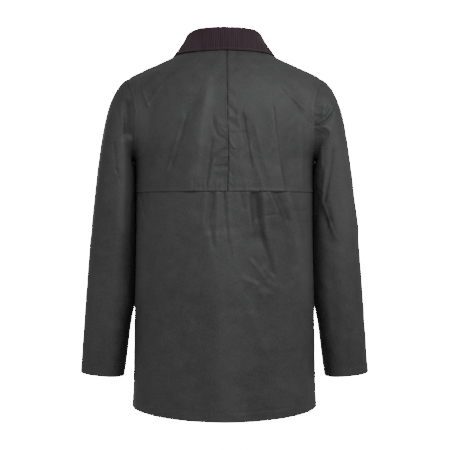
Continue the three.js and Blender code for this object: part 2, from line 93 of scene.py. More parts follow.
class Shade:
    """A shader socket in a Python sum. Each operator adds its Math node to the tree."""

    def __init__(self, tree, socket):
        self.tree = tree
        self.socket = socket

    def maths(self, operation, first, second):
        return output(self.tree, "ShaderNodeMath", 0, {"operation": operation}, {0: first, 1: second})

    def __add__(self, other):
        return self.maths("ADD", self, other)

    def __sub__(self, other):
        return self.maths("SUBTRACT", self, other)

    def __rsub__(self, other):
        return self.maths("SUBTRACT", other, self)

    def __mul__(self, other):
        return self.maths("MULTIPLY", self, other)

    def __abs__(self):
        return self.maths("ABSOLUTE", self, 0)

    __radd__ = __add__
    __rmul__ = __mul__


def give(tree, node, values):
    """Gives each named input of a node its value or its link."""
    for name, value in values.items():
        if isinstance(value, Shade):
            tree.links.new(value.socket, node.inputs[name])
        else:
            node.inputs[name].default_value = value


def make(tree, kind, settings=None, values=None):
    """Adds a node and sets it up."""
    made = tree.nodes.new(kind)
    for name, setting in (settings or {}).items():
        setattr(made, name, setting)
    give(tree, made, values or {})
    return made


def output(tree, kind, name, settings=None, values=None):
    """One output of a new node, ready for a sum or a link."""
    return Shade(tree, make(tree, kind, settings, values).outputs[name])


def white_sky(tree, strength):
    """White light from all round."""
    return output(tree, "ShaderNodeBackground", 0, None, {"Color": (1, 1, 1, 1), "Strength": strength})


world = bpy.data.worlds.new("studio")
bpy.context.scene.world = world
world.use_nodes = True
sky = world.node_tree
sky.nodes.clear()
both = output(sky, "ShaderNodeMixShader", 0, None, {
    0: output(sky, "ShaderNodeLightPath", "Is Camera Ray"),
    1: white_sky(sky, SKY["for_cloth"]),
    2: white_sky(sky, SKY["in_view"]),
})
make(sky, "ShaderNodeOutputWorld", None, {"Surface": both})


def new_material(name):
    """A new material, with its tree to add nodes to and its shader."""
    material = bpy.data.materials.new(name)
    material.use_nodes = True
    tree = material.node_tree
    shader = tree.nodes["Principled BSDF"]
    return material, tree, shader


floor_material, floor_tree, floor_shader = new_material("pale_floor")
give(floor_tree, floor_shader, {"Base Color": FLOOR_COLOUR, "Roughness": 0.9})
floor_mesh = bpy.data.meshes.new("floor")
floor_signs = [(-1, -1), (1, -1), (1, 1), (-1, 1)]
floor_corners = [(x * FLOOR_REACH, y * FLOOR_REACH, FLOOR_Z) for x, y in floor_signs]
floor_mesh.from_pydata(floor_corners, [], [(0, 1, 2, 3)])
floor_mesh.materials.append(floor_material)
new_object("floor", floor_mesh)


# Upper back, left and right
# Two pieces of waxed cotton, joined by a felled seam down the centre back. The left piece
# laps over the right one, and both end at the cross seam with a topstitched edge. All
# sizes of the cloth are in millimetres, as in the part's own source.
CLOTH = 1.5
SHOULDER_TIP_Z = -59
UNDERARM_Z = -235
CROSS_SEAM_Z = -305
SIDE_HEM_Z = -757
HEM_STARTS_TO_DROP_Z = -480
ARMHOLE_HALF_DEPTH = 75
NECK_CURVE = {"side": 1.4, "middle": 2.6}
# Each row: height, half width, depth behind, depth before, squareness
BODY = [
    (12, 54, 58, 52, 2),
    (0, 80, 63, 56, 2),
    (-20, 122, 76, 63, 2),
    (-40, 166, 89, 70, 2),
    (-59, 204, 99, 78, 2),
    (-75, 221, 106, 86, 2),
    (-92, 231, 112, 94, 2),
    (-120, 237, 119, 107, 2),
    (-147, 236, 124, 117, 2),
    (-182, 223, 129, 128, 2.02),
    (-213, 205, 132, 134, 2.06),
    (-235, 194, 133, 136, 2.1),
    (-270, 190, 133, 138, 2.3),
    (-350, 189, 130, 138, 2.45),
    (-450, 190, 127, 137, 2.45),
    (-560, 192.5, 129, 137, 2.45),
    (-680, 194.5, 135, 140, 2.45),
    (-730, 195.5, 139, 143, 2.45),
    (-765, 197.5, 142, 145, 2.45),
    (-800, 199, 144, 147, 2.45),
]
# Each fold: its line from one point to another, as x, z, x, z, the sideways bow of the
# line's middle, its half width, and its height out of the cloth, negative for a trough
BACK_FOLDS = [
    (40, -75, 93, -180, 0, 17, -2.5),
    (93, -180, 116, -240, 0, 17, -2),
    (38, -108, 69, -273, 0, 15, 2),
    (-42, -165, -73, -290, 0, 13, -2.5),
    (-108, -150, -119, -235, 0, 13, 2.5),
    (-127, -96, -170, -137, 0, 12, 2.5),
    (-61, -320, -72, -400, 0, 12, -4),
    (-72, -400, -94, -480, 0, 13, -3.5),
    (-92, -325, -112, -365, 0, 11, 3),
    (-121, -333, -147, -456, 0, 13, -2.5),
    (24, -325, 21, -400, 0, 12, -2),
]
FRONT_FOLDS = [
    (120, -110, 150, -225, 0, 14, -2.5),
    (-118, -120, -140, -235, 0, 15, -2.5),
    (95, -330, 70, -470, 0, 15, -3),
    (-80, -350, -104, -520, 0, 16, -2.5),
    (128, -400, 142, -560, 0, 15, 2),
]
UPPER_BACK_CREASES = [
    (200, -73, 95, -41, 4, 5, 1.3),
    (192, -86, 110, -56, 5, 9, -1.0),
    (150, -100, 152, -150, 4, 9, -0.9),
    (104, -195, 122, -290, 0, 8, -0.9),
    (130, -180, 150, -280, 0, 10, 0.8),
    (-41, -225, -58, -296, 0, 9, -1.4),
    (-63, -170, -92, -272, -2, 4, 0.9),
    (-140, -190, -152, -290, 0, 8, 0.7),
    (-20, -150, -24, -235, 3, 6, -0.7),
]
# Where there are two half widths, they are those to the jacket's left and right of a line
# that goes down
UPPER_BACK_DRAPES = [
    (34, -72, 67, -294, 0, 20, 12, 4.2),
    (85, -152, 118, -261, 0, 3.3, 1.8),
    (79, -152, 110, -257, 0, 3.3, 3.7, -1.2),
    (-39, -150, -55, -247, 0, 4.9, 2.9, -2.6),
    (-57, -224, -81, -296, 0, 10.3, 3.1, 2.9),
    (-100, -138, -122, -298, -2.1, 18.5, 4.1, 3.6),
    (-161, -179, -163, -282, 0, 8.2, 4.1, 1.3),
    (-127, -93, -147, -121, 0, 3.3, -1.8),
    (-141, -109, -182, -144, 0, 3.1, 2.1),
    (-155, -134, -178, -160, 0, 3.7, -1.8),
    (170, -95, 159, -123, 0, 3.3, 1.8),
    (136, -90, 159, -121, 0, 3.3, 1.7),
    (26, -204, 36, -284, 0, 3.7, 2.9, -2.0),
    (23, -240, 29, -288, 0, 3.3, 1.6),
    (50, -220, 56, -282, 0, 3.3, 6.2, 1.3),
]
# Short wrinkles where the two seams draw the cloth in
SEAM_WRINKLES = [
    (23, -152, 17, -183, -2.1, 3.7, -1.5),
    (15, -187, -3, -197, -2.1, 3.3, -1.7),
    (13, -162, -1, -179, 0, 4.5, 1.3),
    (11, -169, -3, -175, 0, 2.5, -1.3),
    (-3, -218, 28, -240, -3.1, 3.1, -1.8),
    (-1, -232, 19, -247, -2.1, 3.7, 1.3),
    (-3, -252, 15, -255, 0, 2.7, -2),
    (-1, -261, 17, -265, 0, 3.7, 1.1),
    (-3, -273, 9, -277, 0, 2.5, -1.3),
    (-9, -97, -18, -103, 0, 3.3, -1.2),
    (-9, -130, -22, -142, 0, 4.1, -1.6),
    (-9, -115, -18, -119, 0, 4.1, 0.8),
    (-9, -160, -28, -173, 0, 4.9, -1.9),
    (-12, -150, -26, -154, 0, 3.7, 0.9),
    (-14, -185, -42, -183, 0, 2.9, -1.3),
    (-9, -199, -20, -216, 0, 2.7, 1.7),
    (-9, -222, -18, -234, 0, 2.7, -1.2),
    (-9, -259, -16, -271, 0, 2.7, -1.2),
    (-9, -282, -18, -292, 0, 2.5, 1),
]
# Where the needle's pull leaves an upright tick above the cross seam
TICKS_X = (68, 58, 50, 41, 32, 16, 8, -24, -44, -54)
SEAM_WRINKLES += [(tick, -285, tick, -302, 0, 2.1, 1.3) for tick in TICKS_X]
SIDES = [(1, "left"), (-1, "right")]
# Where the centre back seam runs: height, x
SEAM_X = [(0, -4.3), (-120, -5.4), (-220, -7.4), (-270, -6.6), (-305, -5.4)]


def smoothstep(value, low, high):
    """0 up to low, 1 from high on, and an S-curve between them."""
    t = np.clip((value - low) / (high - low), 0, 1)
    return t * t * (3 - 2 * t)


def smooth_table(rows):
    """Reads a table by cubics through its rows that never overshoot them: the slope at a
    row is the harmonic mean of the steps beside it, or 0 where they differ in sign."""
    rows = np.array(sorted(rows), float)
    key = rows[:, 0]
    steps = np.diff(rows, axis=0) / np.diff(key)[:, None]
    before = np.vstack([steps[:1], steps])
    after = np.vstack([steps, steps[-1:]])
    rising = before * after > 0
    slopes = np.where(rising, 2 * before * after / np.where(rising, before + after, 1), 0)

    def read(column, at):
        at = np.clip(at, key[0], key[-1])
        i = np.clip(np.searchsorted(key, at, side="right") - 1, 0, len(key) - 2)
        span = key[i + 1] - key[i]
        t = (at - key[i]) / span
        rise = (rows[i + 1, column] - rows[i, column]) * (3 - 2 * t) * t * t
        bend = slopes[i, column] * (1 - t) ** 2 * t + slopes[i + 1, column] * (t - 1) * t * t
        return rows[i, column] + rise + span * bend

    return read


body = smooth_table(BODY)
seam_table = smooth_table(SEAM_X)


def fold_height(folds, x, z, spread=2.0):
    """The sum of the folds at a place: each is its height times exp(-(off / width)^2), off
    being the distance from its bowed line, and fades past its ends. A drape has a width of
    its own on each side of its line."""
    height = np.zeros(np.broadcast(x, z).shape)
    for x1, z1, x2, z2, bow, *widths, rise in folds:
        length = math.hypot(x2 - x1, z2 - z1)
        run = ((x - x1) * (x2 - x1) + (z - z1) * (z2 - z1)) / length
        off = ((x - x1) * (z2 - z1) - (z - z1) * (x2 - x1)) / length
        along = np.clip(run / length, 0, 1)
        off = off - 4 * bow * along * (1 - along)
        width = np.where(off < 0, widths[0], widths[-1])
        past = np.maximum(0, np.maximum(-run, run - length))
        ends = past / (spread * min(widths[0] + widths[-1], 14) / 2)
        height = height + rise * np.exp(-((off / width) ** 2) - ends ** 2)
    return height


def body_point(angle, z):
    """The body's outer surface at a ring angle, 0 at the wearer's left side and a quarter
    turn at the centre back: radius = (|cos / side|^n + |sin / depth|^n)^(-1/n), plus the
    largest folds."""
    behind = np.sin(angle) > 0
    deep = np.where(behind, body(2, z), body(3, z))
    side = body(1, z)
    square = body(4, z)
    turn = np.arctan2(deep * np.sin(angle), side * np.cos(angle))
    power = np.abs(np.cos(turn) / side) ** square + np.abs(np.sin(turn) / deep) ** square
    radius = power ** (-1 / square)
    x = radius * np.cos(turn)
    folds = np.where(behind, fold_height(BACK_FOLDS, x, z), fold_height(FRONT_FOLDS, x, z))
    radius = radius + smoothstep(np.abs(np.sin(turn)), 0.15, 0.5) * folds
    return np.stack([radius * np.cos(turn), radius * np.sin(turn), z + 0 * radius], -1)


ARMHOLE_MIDDLE_Z = (SHOULDER_TIP_Z + UNDERARM_Z) / 2
ARMHOLE_HALF_HEIGHT = (SHOULDER_TIP_Z - UNDERARM_Z) / 2
# By the face, 1 behind and -1 in front
NECK_DROP = {1: 3, -1: 80}
HEM_DROP = {1: 21, -1: 9}
DEPTH_COLUMN = {1: 2, -1: 3}


def edge_angle(face, z):
    """Where a panel ends at a height: asin(reach / depth), reach being the armhole's
    ellipse seen from the side."""
    up = (z - ARMHOLE_MIDDLE_Z) / ARMHOLE_HALF_HEIGHT
    reach = ARMHOLE_HALF_DEPTH * np.sqrt(np.clip(1 - up * up, 0, 1))
    return np.arcsin(np.maximum(reach, 0.15) / body(DEPTH_COLUMN[face], z))


def dropped(face, angle, z):
    """A row's height, lower towards the middle at the neck and at the hem."""
    edge = edge_angle(face, z)
    past_edge = (angle - edge) / (math.pi / 2 - edge)
    round_by = past_edge + (angle / (math.pi / 2) - past_edge) * smoothstep(past_edge, 0, 0.4)
    inward = np.clip(np.cos(round_by * math.pi / 2), 0, 1)
    curve = (1 - inward ** NECK_CURVE["side"]) ** NECK_CURVE["middle"]
    neck = smoothstep(z, UNDERARM_Z, 0) * NECK_DROP[face] * curve
    hem = smoothstep(-z, -HEM_STARTS_TO_DROP_Z, -SIDE_HEM_Z) * HEM_DROP[face]
    return z - neck - hem * np.abs(np.sin(angle)) ** 1.7


def row_heights(low, high, step, arm_rows=62):
    """Heights of rows, even but for the armhole, where they follow turns of its ellipse."""
    stops = []
    below = min(high, UNDERARM_Z)
    if low < below:
        stops.append(np.linspace(low, below, round((below - low) / step), endpoint=False))
    if high > UNDERARM_Z:
        turns = np.linspace(math.pi, 0, arm_rows, endpoint=False)
        stops.append(ARMHOLE_MIDDLE_Z + ARMHOLE_HALF_HEIGHT * np.cos(turns))
        stops.append(np.linspace(SHOULDER_TIP_Z, high, round((high - SHOULDER_TIP_Z) / step)))
    else:
        stops.append(np.array([high]))
    return np.concatenate(stops)


def off_armhole(z):
    """How far a height is from the armhole's middle, 1 being its top or its bottom."""
    return np.abs(z - ARMHOLE_MIDDLE_Z) / ARMHOLE_HALF_HEIGHT


def panel_grid(face, side, heights, middle_x, steps, lap):
    """A panel's surface, rows up and columns from its middle edge to its side edge, then
    three columns more where a lap goes under its neighbour at the side or shoulder seam."""
    z0 = heights[:, None]
    middle_z = dropped(face, math.pi / 2, z0)
    middle = np.arccos(side * middle_x[:, None] / body(1, middle_z))
    edge = edge_angle(face, z0)
    angle = middle + (edge - middle) * np.linspace(0, 1, steps)[None, :]
    if lap:
        reach = lap * smoothstep(off_armhole(z0), 0.995, 1.04) + 0.2
        extra = np.array([0.2, 0.6, 1.0])[None, :] * reach / body(DEPTH_COLUMN[face], z0)
        angle = np.hstack([angle, edge - extra])
    z = dropped(face, angle, z0)
    turned = angle if side > 0 else math.pi - angle
    return body_point(face * turned, z)


def unit(vectors):
    """Vectors brought to length 1."""
    return vectors / np.maximum(np.linalg.norm(vectors, axis=-1, keepdims=True), 1e-9)


def normals_of(grid, ring=False):
    """The unit normal at each point of a grid: the cross product of the directions along
    its row and its column, each from the points on either side."""
    across = (np.roll(grid, -1, 1) - np.roll(grid, 1, 1)) if ring else np.gradient(grid, axis=1)
    return unit(np.cross(across, np.gradient(grid, axis=0)))


def facing_out(grid, face):
    """A panel's normals, turned out of the jacket."""
    normals = normals_of(grid)
    return normals * face * np.sign(normals[..., 1].mean())


def distances(grid, axis):
    """How far each point lies along its row or column from the first one."""
    steps = np.linalg.norm(np.diff(grid, axis=axis), axis=-1)
    total = np.cumsum(steps, axis=axis)
    return np.concatenate([np.zeros_like(np.take(total, [0], axis)), total], axis)


# Painted light and shade in the cloth's colour: paler and darker patches, given as folds are;
# how much each millimetre of a crest adds, paler with worn wax, and of a trough, darker as painted
# shade; and how softly its patches end
CREST_WEAR_AND_TROUGH_SHADE = 0.4
PAINTED_PATCH_FADE = 7
# Painted light and shade on the back: paler down the middle, darker towards the hem
BACK_PAINTED_SHADING = [
    (12, -50, 6, -330, 0, 52, 0.5),
    (8, -306, -30, -480, 0, 46, 1.7),
    (5, -560, -5, -790, 0, 60, -0.9),
    (-130, -470, -130, -760, 0, 55, -0.7),
    (110, -560, 120, -760, 0, 60, -0.5),
    (-40, -250, -55, -300, 0, 14, 0.5),
    (-85, -150, -100, -250, 0, 26, -0.5),
    (0, -540, 0, -800, 0, 240, -0.7),
]
# Painted light: paler bands down the body's sides beside the sleeves, where shade falls
SIDE_PAINTED_LIGHT = [
    (-177, -150, -179, -470, 0, 20, 5),
    (179, -150, 180, -480, 0, 20, 5),
]


def ripples(a, b, seed, count, shortest, longest):
    """Fine unevenness: the sum of waves in all directions, with random phases, about 1
    high in all."""
    chance = np.random.default_rng(seed)
    height = np.zeros(np.broadcast(a, b).shape)
    for _ in range(count):
        turn = chance.uniform(0, math.pi)
        wave = 2 * math.pi / chance.uniform(shortest, longest)
        phase = chance.uniform(0, 2 * math.pi)
        height = height + np.sin(wave * (a * math.cos(turn) + b * math.sin(turn)) + phase)
    return height / math.sqrt(count)


def puckers(along, off, seed, reach, pitch):
    """Short ripples square to a seam: waves along it that die out within reach."""
    chance = np.random.default_rng(seed)
    wave = np.zeros(np.broadcast(along, off).shape)
    for factor in (1.0, 1.37, 0.71):
        phase = chance.uniform(0, 6.28)
        wave = wave + np.sin(2 * math.pi * along / (pitch * factor) + phase + 0.05 * off)
    patches = 0.6 + 0.4 * np.sin(along / (2.7 * pitch) + seed)
    return wave / 1.7 * patches * np.exp(-((off / reach) ** 2))


def fill(items, key, values, kind=np.float32):
    """Gives all items of a mesh their values at once."""
    items.foreach_set(key, values.astype(kind).ravel())


def new_piece(name, points, faces, uv=None, smooth=True, wear_and_painted_shade=None):
    """A mesh in metres from points in millimetres, with its creased edges kept sharp, and
    with the painted light and shade, and wax wear, that shift its colour at each point."""
    mesh = bpy.data.meshes.new(name)
    counts = np.full(len(faces), faces.shape[1])
    mesh.vertices.add(len(points))
    fill(mesh.vertices, "co", points * 0.001)
    mesh.loops.add(faces.size)
    fill(mesh.loops, "vertex_index", faces, np.int32)
    mesh.polygons.add(len(faces))
    fill(mesh.polygons, "loop_start", np.cumsum(counts) - counts, np.int32)
    mesh.update(calc_edges=True)
    if uv is not None:
        fill(mesh.uv_layers.new(name="cloth").data, "uv", uv[faces.ravel()] * 0.001)
    if wear_and_painted_shade is not None:
        fill(mesh.attributes.new("wear_and_painted_shade", "FLOAT", "POINT").data, "value", wear_and_painted_shade)
    fill(mesh.polygons, "use_smooth", np.full(len(faces), smooth), bool)
    if smooth:
        mesh.set_sharp_from_angle(angle=math.radians(55))
    mesh.validate()
    return new_object(name, mesh)


def cloth_wall(name, outer, normals, thick, ring=False, wear_and_painted_shade=None):
    """A closed wall of cloth: the outer grid, the same grid moved in by the thickness, and
    strips round the edges. Its UV map is the distance along each row from the middle column,
    and along each column."""
    rows, columns = outer.shape[:2]
    inner = outer - normals * np.broadcast_to(thick, (rows, columns))[..., None]
    points = np.concatenate([outer.reshape(-1, 3), inner.reshape(-1, 3)])
    index = np.arange(rows * columns).reshape(rows, columns)
    right = np.roll(index, -1, 1) if ring else index[:, 1:]
    left = index if ring else index[:, :-1]
    skin = np.stack([left[:-1], right[:-1], right[1:], left[1:]], -1).reshape(-1, 4)
    count = rows * columns
    edges = [(right[0], left[0]), (left[-1], right[-1])]
    if not ring:
        edges += [(index[:-1, 0], index[1:, 0]), (index[1:, -1], index[:-1, -1])]
    rims = [np.stack([a, b, b + count, a + count], -1) for a, b in edges]
    faces = np.concatenate([skin, skin[:, ::-1] + count] + rims)
    corner = points[faces[0]]
    facing = np.dot(np.cross(corner[1] - corner[0], corner[3] - corner[0]), normals[0, 0])
    if facing < 0:
        faces = faces[:, ::-1]
    along = distances(outer, 1)
    along = along - along[:, columns // 2, None]
    flat = np.stack([along, distances(outer, 0)], -1).reshape(-1, 2)
    if wear_and_painted_shade is not None:
        wear_and_painted_shade = np.concatenate([wear_and_painted_shade.ravel(), wear_and_painted_shade.ravel()])
    return new_piece(name, points, faces, np.concatenate([flat, flat]), wear_and_painted_shade=wear_and_painted_shade)


STITCH = {"pitch": 3.4, "length": 2.5, "width": 0.7, "sunk": 0.12, "sides": 5, "ahead": 0.8}


def read_line(at, known, values):
    """A line's points or normals at some distances, by those at the known distances."""
    return np.stack([np.interp(at, known, values[:, k]) for k in range(3)], -1)


def stitch_frames(line, normals):
    """Places at even steps along a line on the cloth, each with its direction and normal."""
    steps = np.linalg.norm(np.diff(line, axis=0), axis=1)
    total = np.concatenate([[0], np.cumsum(steps)])
    at = np.arange(STITCH["pitch"] / 2, total[-1] - STITCH["pitch"] / 2, STITCH["pitch"])
    place = read_line(at, total, line)
    along = unit(read_line(at + STITCH["ahead"], total, line) - place)
    normal = read_line(at, total, normals)
    return place, along, unit(normal - along * np.sum(normal * along, 1, keepdims=True))


def stitches(name, lines):
    """Rows of stitches as one mesh. Each is a short bead with five sides and four rings of
    points, thick in its middle and sunk at its ends, laid along the line."""
    sides = STITCH["sides"]
    ring = np.arange(sides)
    turns = ring * 2 * math.pi / sides
    reach = np.array([-0.5, -0.2, 0.2, 0.5]) * STITCH["length"]
    thick = np.array([0.25, 1, 1, 0.25]) * STITCH["width"] / 2
    dip = np.array([-0.25, 0, 0, -0.25])
    along = np.repeat(reach, sides)
    across = (thick[:, None] * np.cos(turns)).ravel()
    up = (thick[:, None] * np.sin(turns) * 0.8 + dip[:, None]).ravel() + STITCH["sunk"]
    after = (ring + 1) % sides
    band = np.stack([ring, after, after + sides, ring + sides], -1)
    faces = np.concatenate([band, band + sides, band + 2 * sides])
    points, all_faces = [], []
    start = 0
    for line, normals in lines:
        place, forward, normal = stitch_frames(line, normals)
        sideways = np.cross(normal, forward)
        beads = (place[:, None] + forward[:, None] * along[None, :, None]
                 + sideways[:, None] * across[None, :, None] + normal[:, None] * up[None, :, None])
        points.append(beads.reshape(-1, 3))
        shift = start + len(along) * np.arange(len(place))[:, None, None]
        all_faces.append((faces[None] + shift).reshape(-1, 4))
        start += len(along) * len(place)
    return new_piece(name, np.concatenate(points), np.concatenate(all_faces))


def line_at(grid, normals, distance, wanted):
    """The line across a grid's rows where the distance given for its points is wanted."""
    place, facing = [], []
    for row, by in enumerate(distance):
        order = np.argsort(by)
        place.append(read_line(wanted, by[order], grid[row][order]))
        facing.append(read_line(wanted, by[order], normals[row][order]))
    return np.array(place), np.array(facing)


def line_along(grid, normals, height, wanted):
    """The line across a grid's columns where the height given for its rows is wanted."""
    height = np.broadcast_to(height, grid.shape[:2])
    return line_at(np.swapaxes(grid, 0, 1), np.swapaxes(normals, 0, 1), height.T, wanted)


def object_place(tree):
    """Where a point is on the whole jacket, in metres."""
    return output(tree, "ShaderNodeTexCoord", "Object")


def cloth_place(tree):
    """Where a point is on its flat cloth."""
    return output(tree, "ShaderNodeUVMap", "UV", {"uv_map": "cloth"})


def noise(tree, at, scale, detail, distortion=0.0):
    """Soft random patches from 0 to 1."""
    return output(tree, "ShaderNodeTexNoise", "Fac", None, {
        "Vector": at, "Scale": scale, "Detail": detail, "Distortion": distortion})


def waves(tree, at, direction, scale, distortion, rough=1.0):
    """Wavy stripes from 0 to 1, as threads, ribs and ridges are."""
    return output(tree, "ShaderNodeTexWave", "Fac", {"bands_direction": direction}, {
        "Vector": at, "Scale": scale, "Distortion": distortion, "Detail": 2, "Detail Scale": rough})


def dye(tree, tone, stops):
    """A colour between those that two stops give for a low and a high tone."""
    made = make(tree, "ShaderNodeValToRGB", None, {"Fac": tone})
    for element, (position, colour) in zip(made.color_ramp.elements, stops):
        element.position = position
        element.color = (*colour, 1)
    return Shade(tree, made.outputs["Color"])


def emboss(tree, relief, strength, distance):
    """The normal of a relief too fine for the mesh."""
    return output(tree, "ShaderNodeBump", "Normal", None, {
        "Strength": strength, "Distance": distance, "Height": relief})


COTTON_TONES = [(0.40, (0.020, 0.020, 0.0204)), (0.90, (0.070, 0.071, 0.071))]
COTTON_GLOSS = 0.45
PAINTED_SHADE_AND_WEAR_TONE = 0.05
CRACK_WIDTH = 0.022


def waxed_cotton():
    """Dark olive-grey cotton, waxed: patchy sheen, a grainy weave and pale crackle."""
    material, tree, shader = new_material("waxed_cotton")
    place = object_place(tree)
    cloth = cloth_place(tree)
    # Painted light and shade, with some wax wear, that the mesh carries; it shifts the base colour
    wear_and_painted_shade = output(tree, "ShaderNodeAttribute", "Fac", {"attribute_name": "wear_and_painted_shade"})
    patches = noise(tree, place, 7, 3)
    blotches = noise(tree, place, 42, 4)
    grain = noise(tree, place, 430, 3)
    weave = waves(tree, cloth, "X", 160, 2.0) + waves(tree, cloth, "Y", 150, 2.0)
    veins = noise(tree, place, 24, 3, 0.6)
    cracks = output(tree, "ShaderNodeMapRange", "Result", {"interpolation_type": "SMOOTHSTEP"}, {
        "Value": abs(veins - 0.5), "From Min": 0.0, "From Max": CRACK_WIDTH, "To Min": 1.0, "To Max": 0.0})
    crackle = cracks * blotches
    tone = patches * 0.30 + blotches * 0.26 + grain * 0.62 + crackle * 0.07 + weave * 0.05
    relief = grain * 0.6 + weave * 0.25 + blotches * 0.9 + crackle * 0.5
    give(tree, shader, {
        "Base Color": dye(tree, tone + wear_and_painted_shade * PAINTED_SHADE_AND_WEAR_TONE + 0.03, COTTON_TONES),
        "Roughness": patches * 0.2 + blotches * 0.16 + grain * 0.2 + 0.3,
        "Specular IOR Level": COTTON_GLOSS,
        "Normal": emboss(tree, relief, 0.5, 0.0007),
    })
    return material


cotton = waxed_cotton()
THREAD_TONES = [(0, (0.03, 0.031, 0.027)), (1, (0.085, 0.086, 0.075))]


def thread_material():
    """Dark waxed polyester thread with a fine twist."""
    material, tree, shader = new_material("thread")
    twist = noise(tree, object_place(tree), 900, 2)
    give(tree, shader, {"Base Color": dye(tree, twist, THREAD_TONES), "Roughness": 0.6})
    return material


thread = thread_material()


def dress(piece, material):
    """Gives a piece its material and its slot, and lets it ride on the jacket."""
    piece.data.materials.append(material)
    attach(piece, "jacket")
    return piece


def hang(piece, node):
    """Gives a piece of waxed cotton its material, and hides the solid that it stands for."""
    dress(piece, cotton)
    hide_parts(node)


def panel(name, node, base, normal, lift, face, wear_and_painted_shade, thick):
    """A panel of waxed cotton from its plain surface, raised by its folds and seams. Returns
    its outer surface and normals, for the stitches."""
    surface = base + normal * lift[..., None]
    facing = facing_out(surface, face)
    # Painted light and shade: the listed patches, with crests paler and troughs darker
    painted_shade_and_wear_map = fold_height(wear_and_painted_shade, base[..., 0], base[..., 2], PAINTED_PATCH_FADE) + CREST_WEAR_AND_TROUGH_SHADE * lift
    hang(cloth_wall(name, surface, facing, thick, wear_and_painted_shade=painted_shade_and_wear_map), node)
    return surface, facing


def crest(off, width):
    """A soft crest along a line: exp(-(off / width)^2)."""
    return np.exp(-((off / width) ** 2))


def seam_ridge(off, width, height):
    """The welt of a felled seam: raised within its width, with a groove at each side."""
    return smoothstep(width + 0.8 - off, 0, 1.6) * height - 0.35 * crest(off - width - 0.6, 0.9)


UPPER_BACK_COLUMNS = 136
FELLED_LAP = 9
FELL_STITCHES = (1.6, 7.2)
CENTRE_STITCH = 1.8
# How deep an edge goes under its neighbour, and how far down the shoulder's welt begins
LAP_DEPTH = {"centre": 1.75, "cross": 1.85, "side": 1.8}
WELT_FROM = (62, 90)
ARM_STITCH = {"in": 6.5, "back_top": -62, "front_top": -64}
back_stitches = []
for side, name in SIDES:
    heights = row_heights(CROSS_SEAM_Z, 0, 1.7, 104)
    seam_x = seam_table(1, heights)
    middle = seam_x if side > 0 else seam_x + FELLED_LAP
    base = panel_grid(1, side, heights, middle, UPPER_BACK_COLUMNS, 0)
    normal = facing_out(base, 1)
    x, z = base[..., 0], base[..., 2]
    past_seam = x - seam_x[:, None]
    off_seam = np.abs(past_seam)
    over_cross = heights[:, None] - CROSS_SEAM_Z
    to_edge = distances(base, 1)
    to_edge = to_edge[:, -1:] - to_edge
    lift = fold_height(UPPER_BACK_CREASES, x, z, 1.5) + fold_height(SEAM_WRINKLES, x, z, 1.0)
    lift += fold_height(UPPER_BACK_DRAPES, x, z, 2.2)
    lift += 0.22 * ripples(x, z, 11, 24, 18, 60)
    lift += 0.35 * puckers(z, off_seam, 3, 14, 9) * smoothstep(-z, 100, 190)
    lift += 0.16 * puckers(x, over_cross, 7, 9, 8)
    lift += 0.5 * crest(over_cross - 2.5, 1.8)
    lift += seam_ridge(to_edge, 6, 0.7) * smoothstep(-z, *WELT_FROM)
    lift += seam_ridge(over_cross, 7, 0.5)
    if side > 0:
        lift += 0.8 * crest(off_seam - 1.6, 2.0) * smoothstep(-z, 60, 150)
    else:
        lift *= smoothstep(off_seam, 0, 3)
        lift -= LAP_DEPTH["centre"] * smoothstep(past_seam, -1.2, 0)
        lift -= 0.9 * crest(off_seam - 1.4, 1.2)
        lift += 0.6 * crest(off_seam - 4.6, 1.8) * smoothstep(-z, 150, 210)
    surface, facing = panel(f"upper_back_{name}", f"back_upper_{name}", base, normal, lift, 1,
                            BACK_PAINTED_SHADING + SIDE_PAINTED_LIGHT, CLOTH)
    edge_line, edge_facing = line_at(surface, facing, to_edge, ARM_STITCH["in"])
    inside = edge_line[:, 2] < ARM_STITCH["back_top"]
    back_stitches.append((edge_line[inside], edge_facing[inside]))
    if side > 0:
        back_stitches.append(line_at(surface, facing, off_seam, CENTRE_STITCH))
    back_stitches += [line_along(surface, facing, over_cross, wanted) for wanted in FELL_STITCHES]

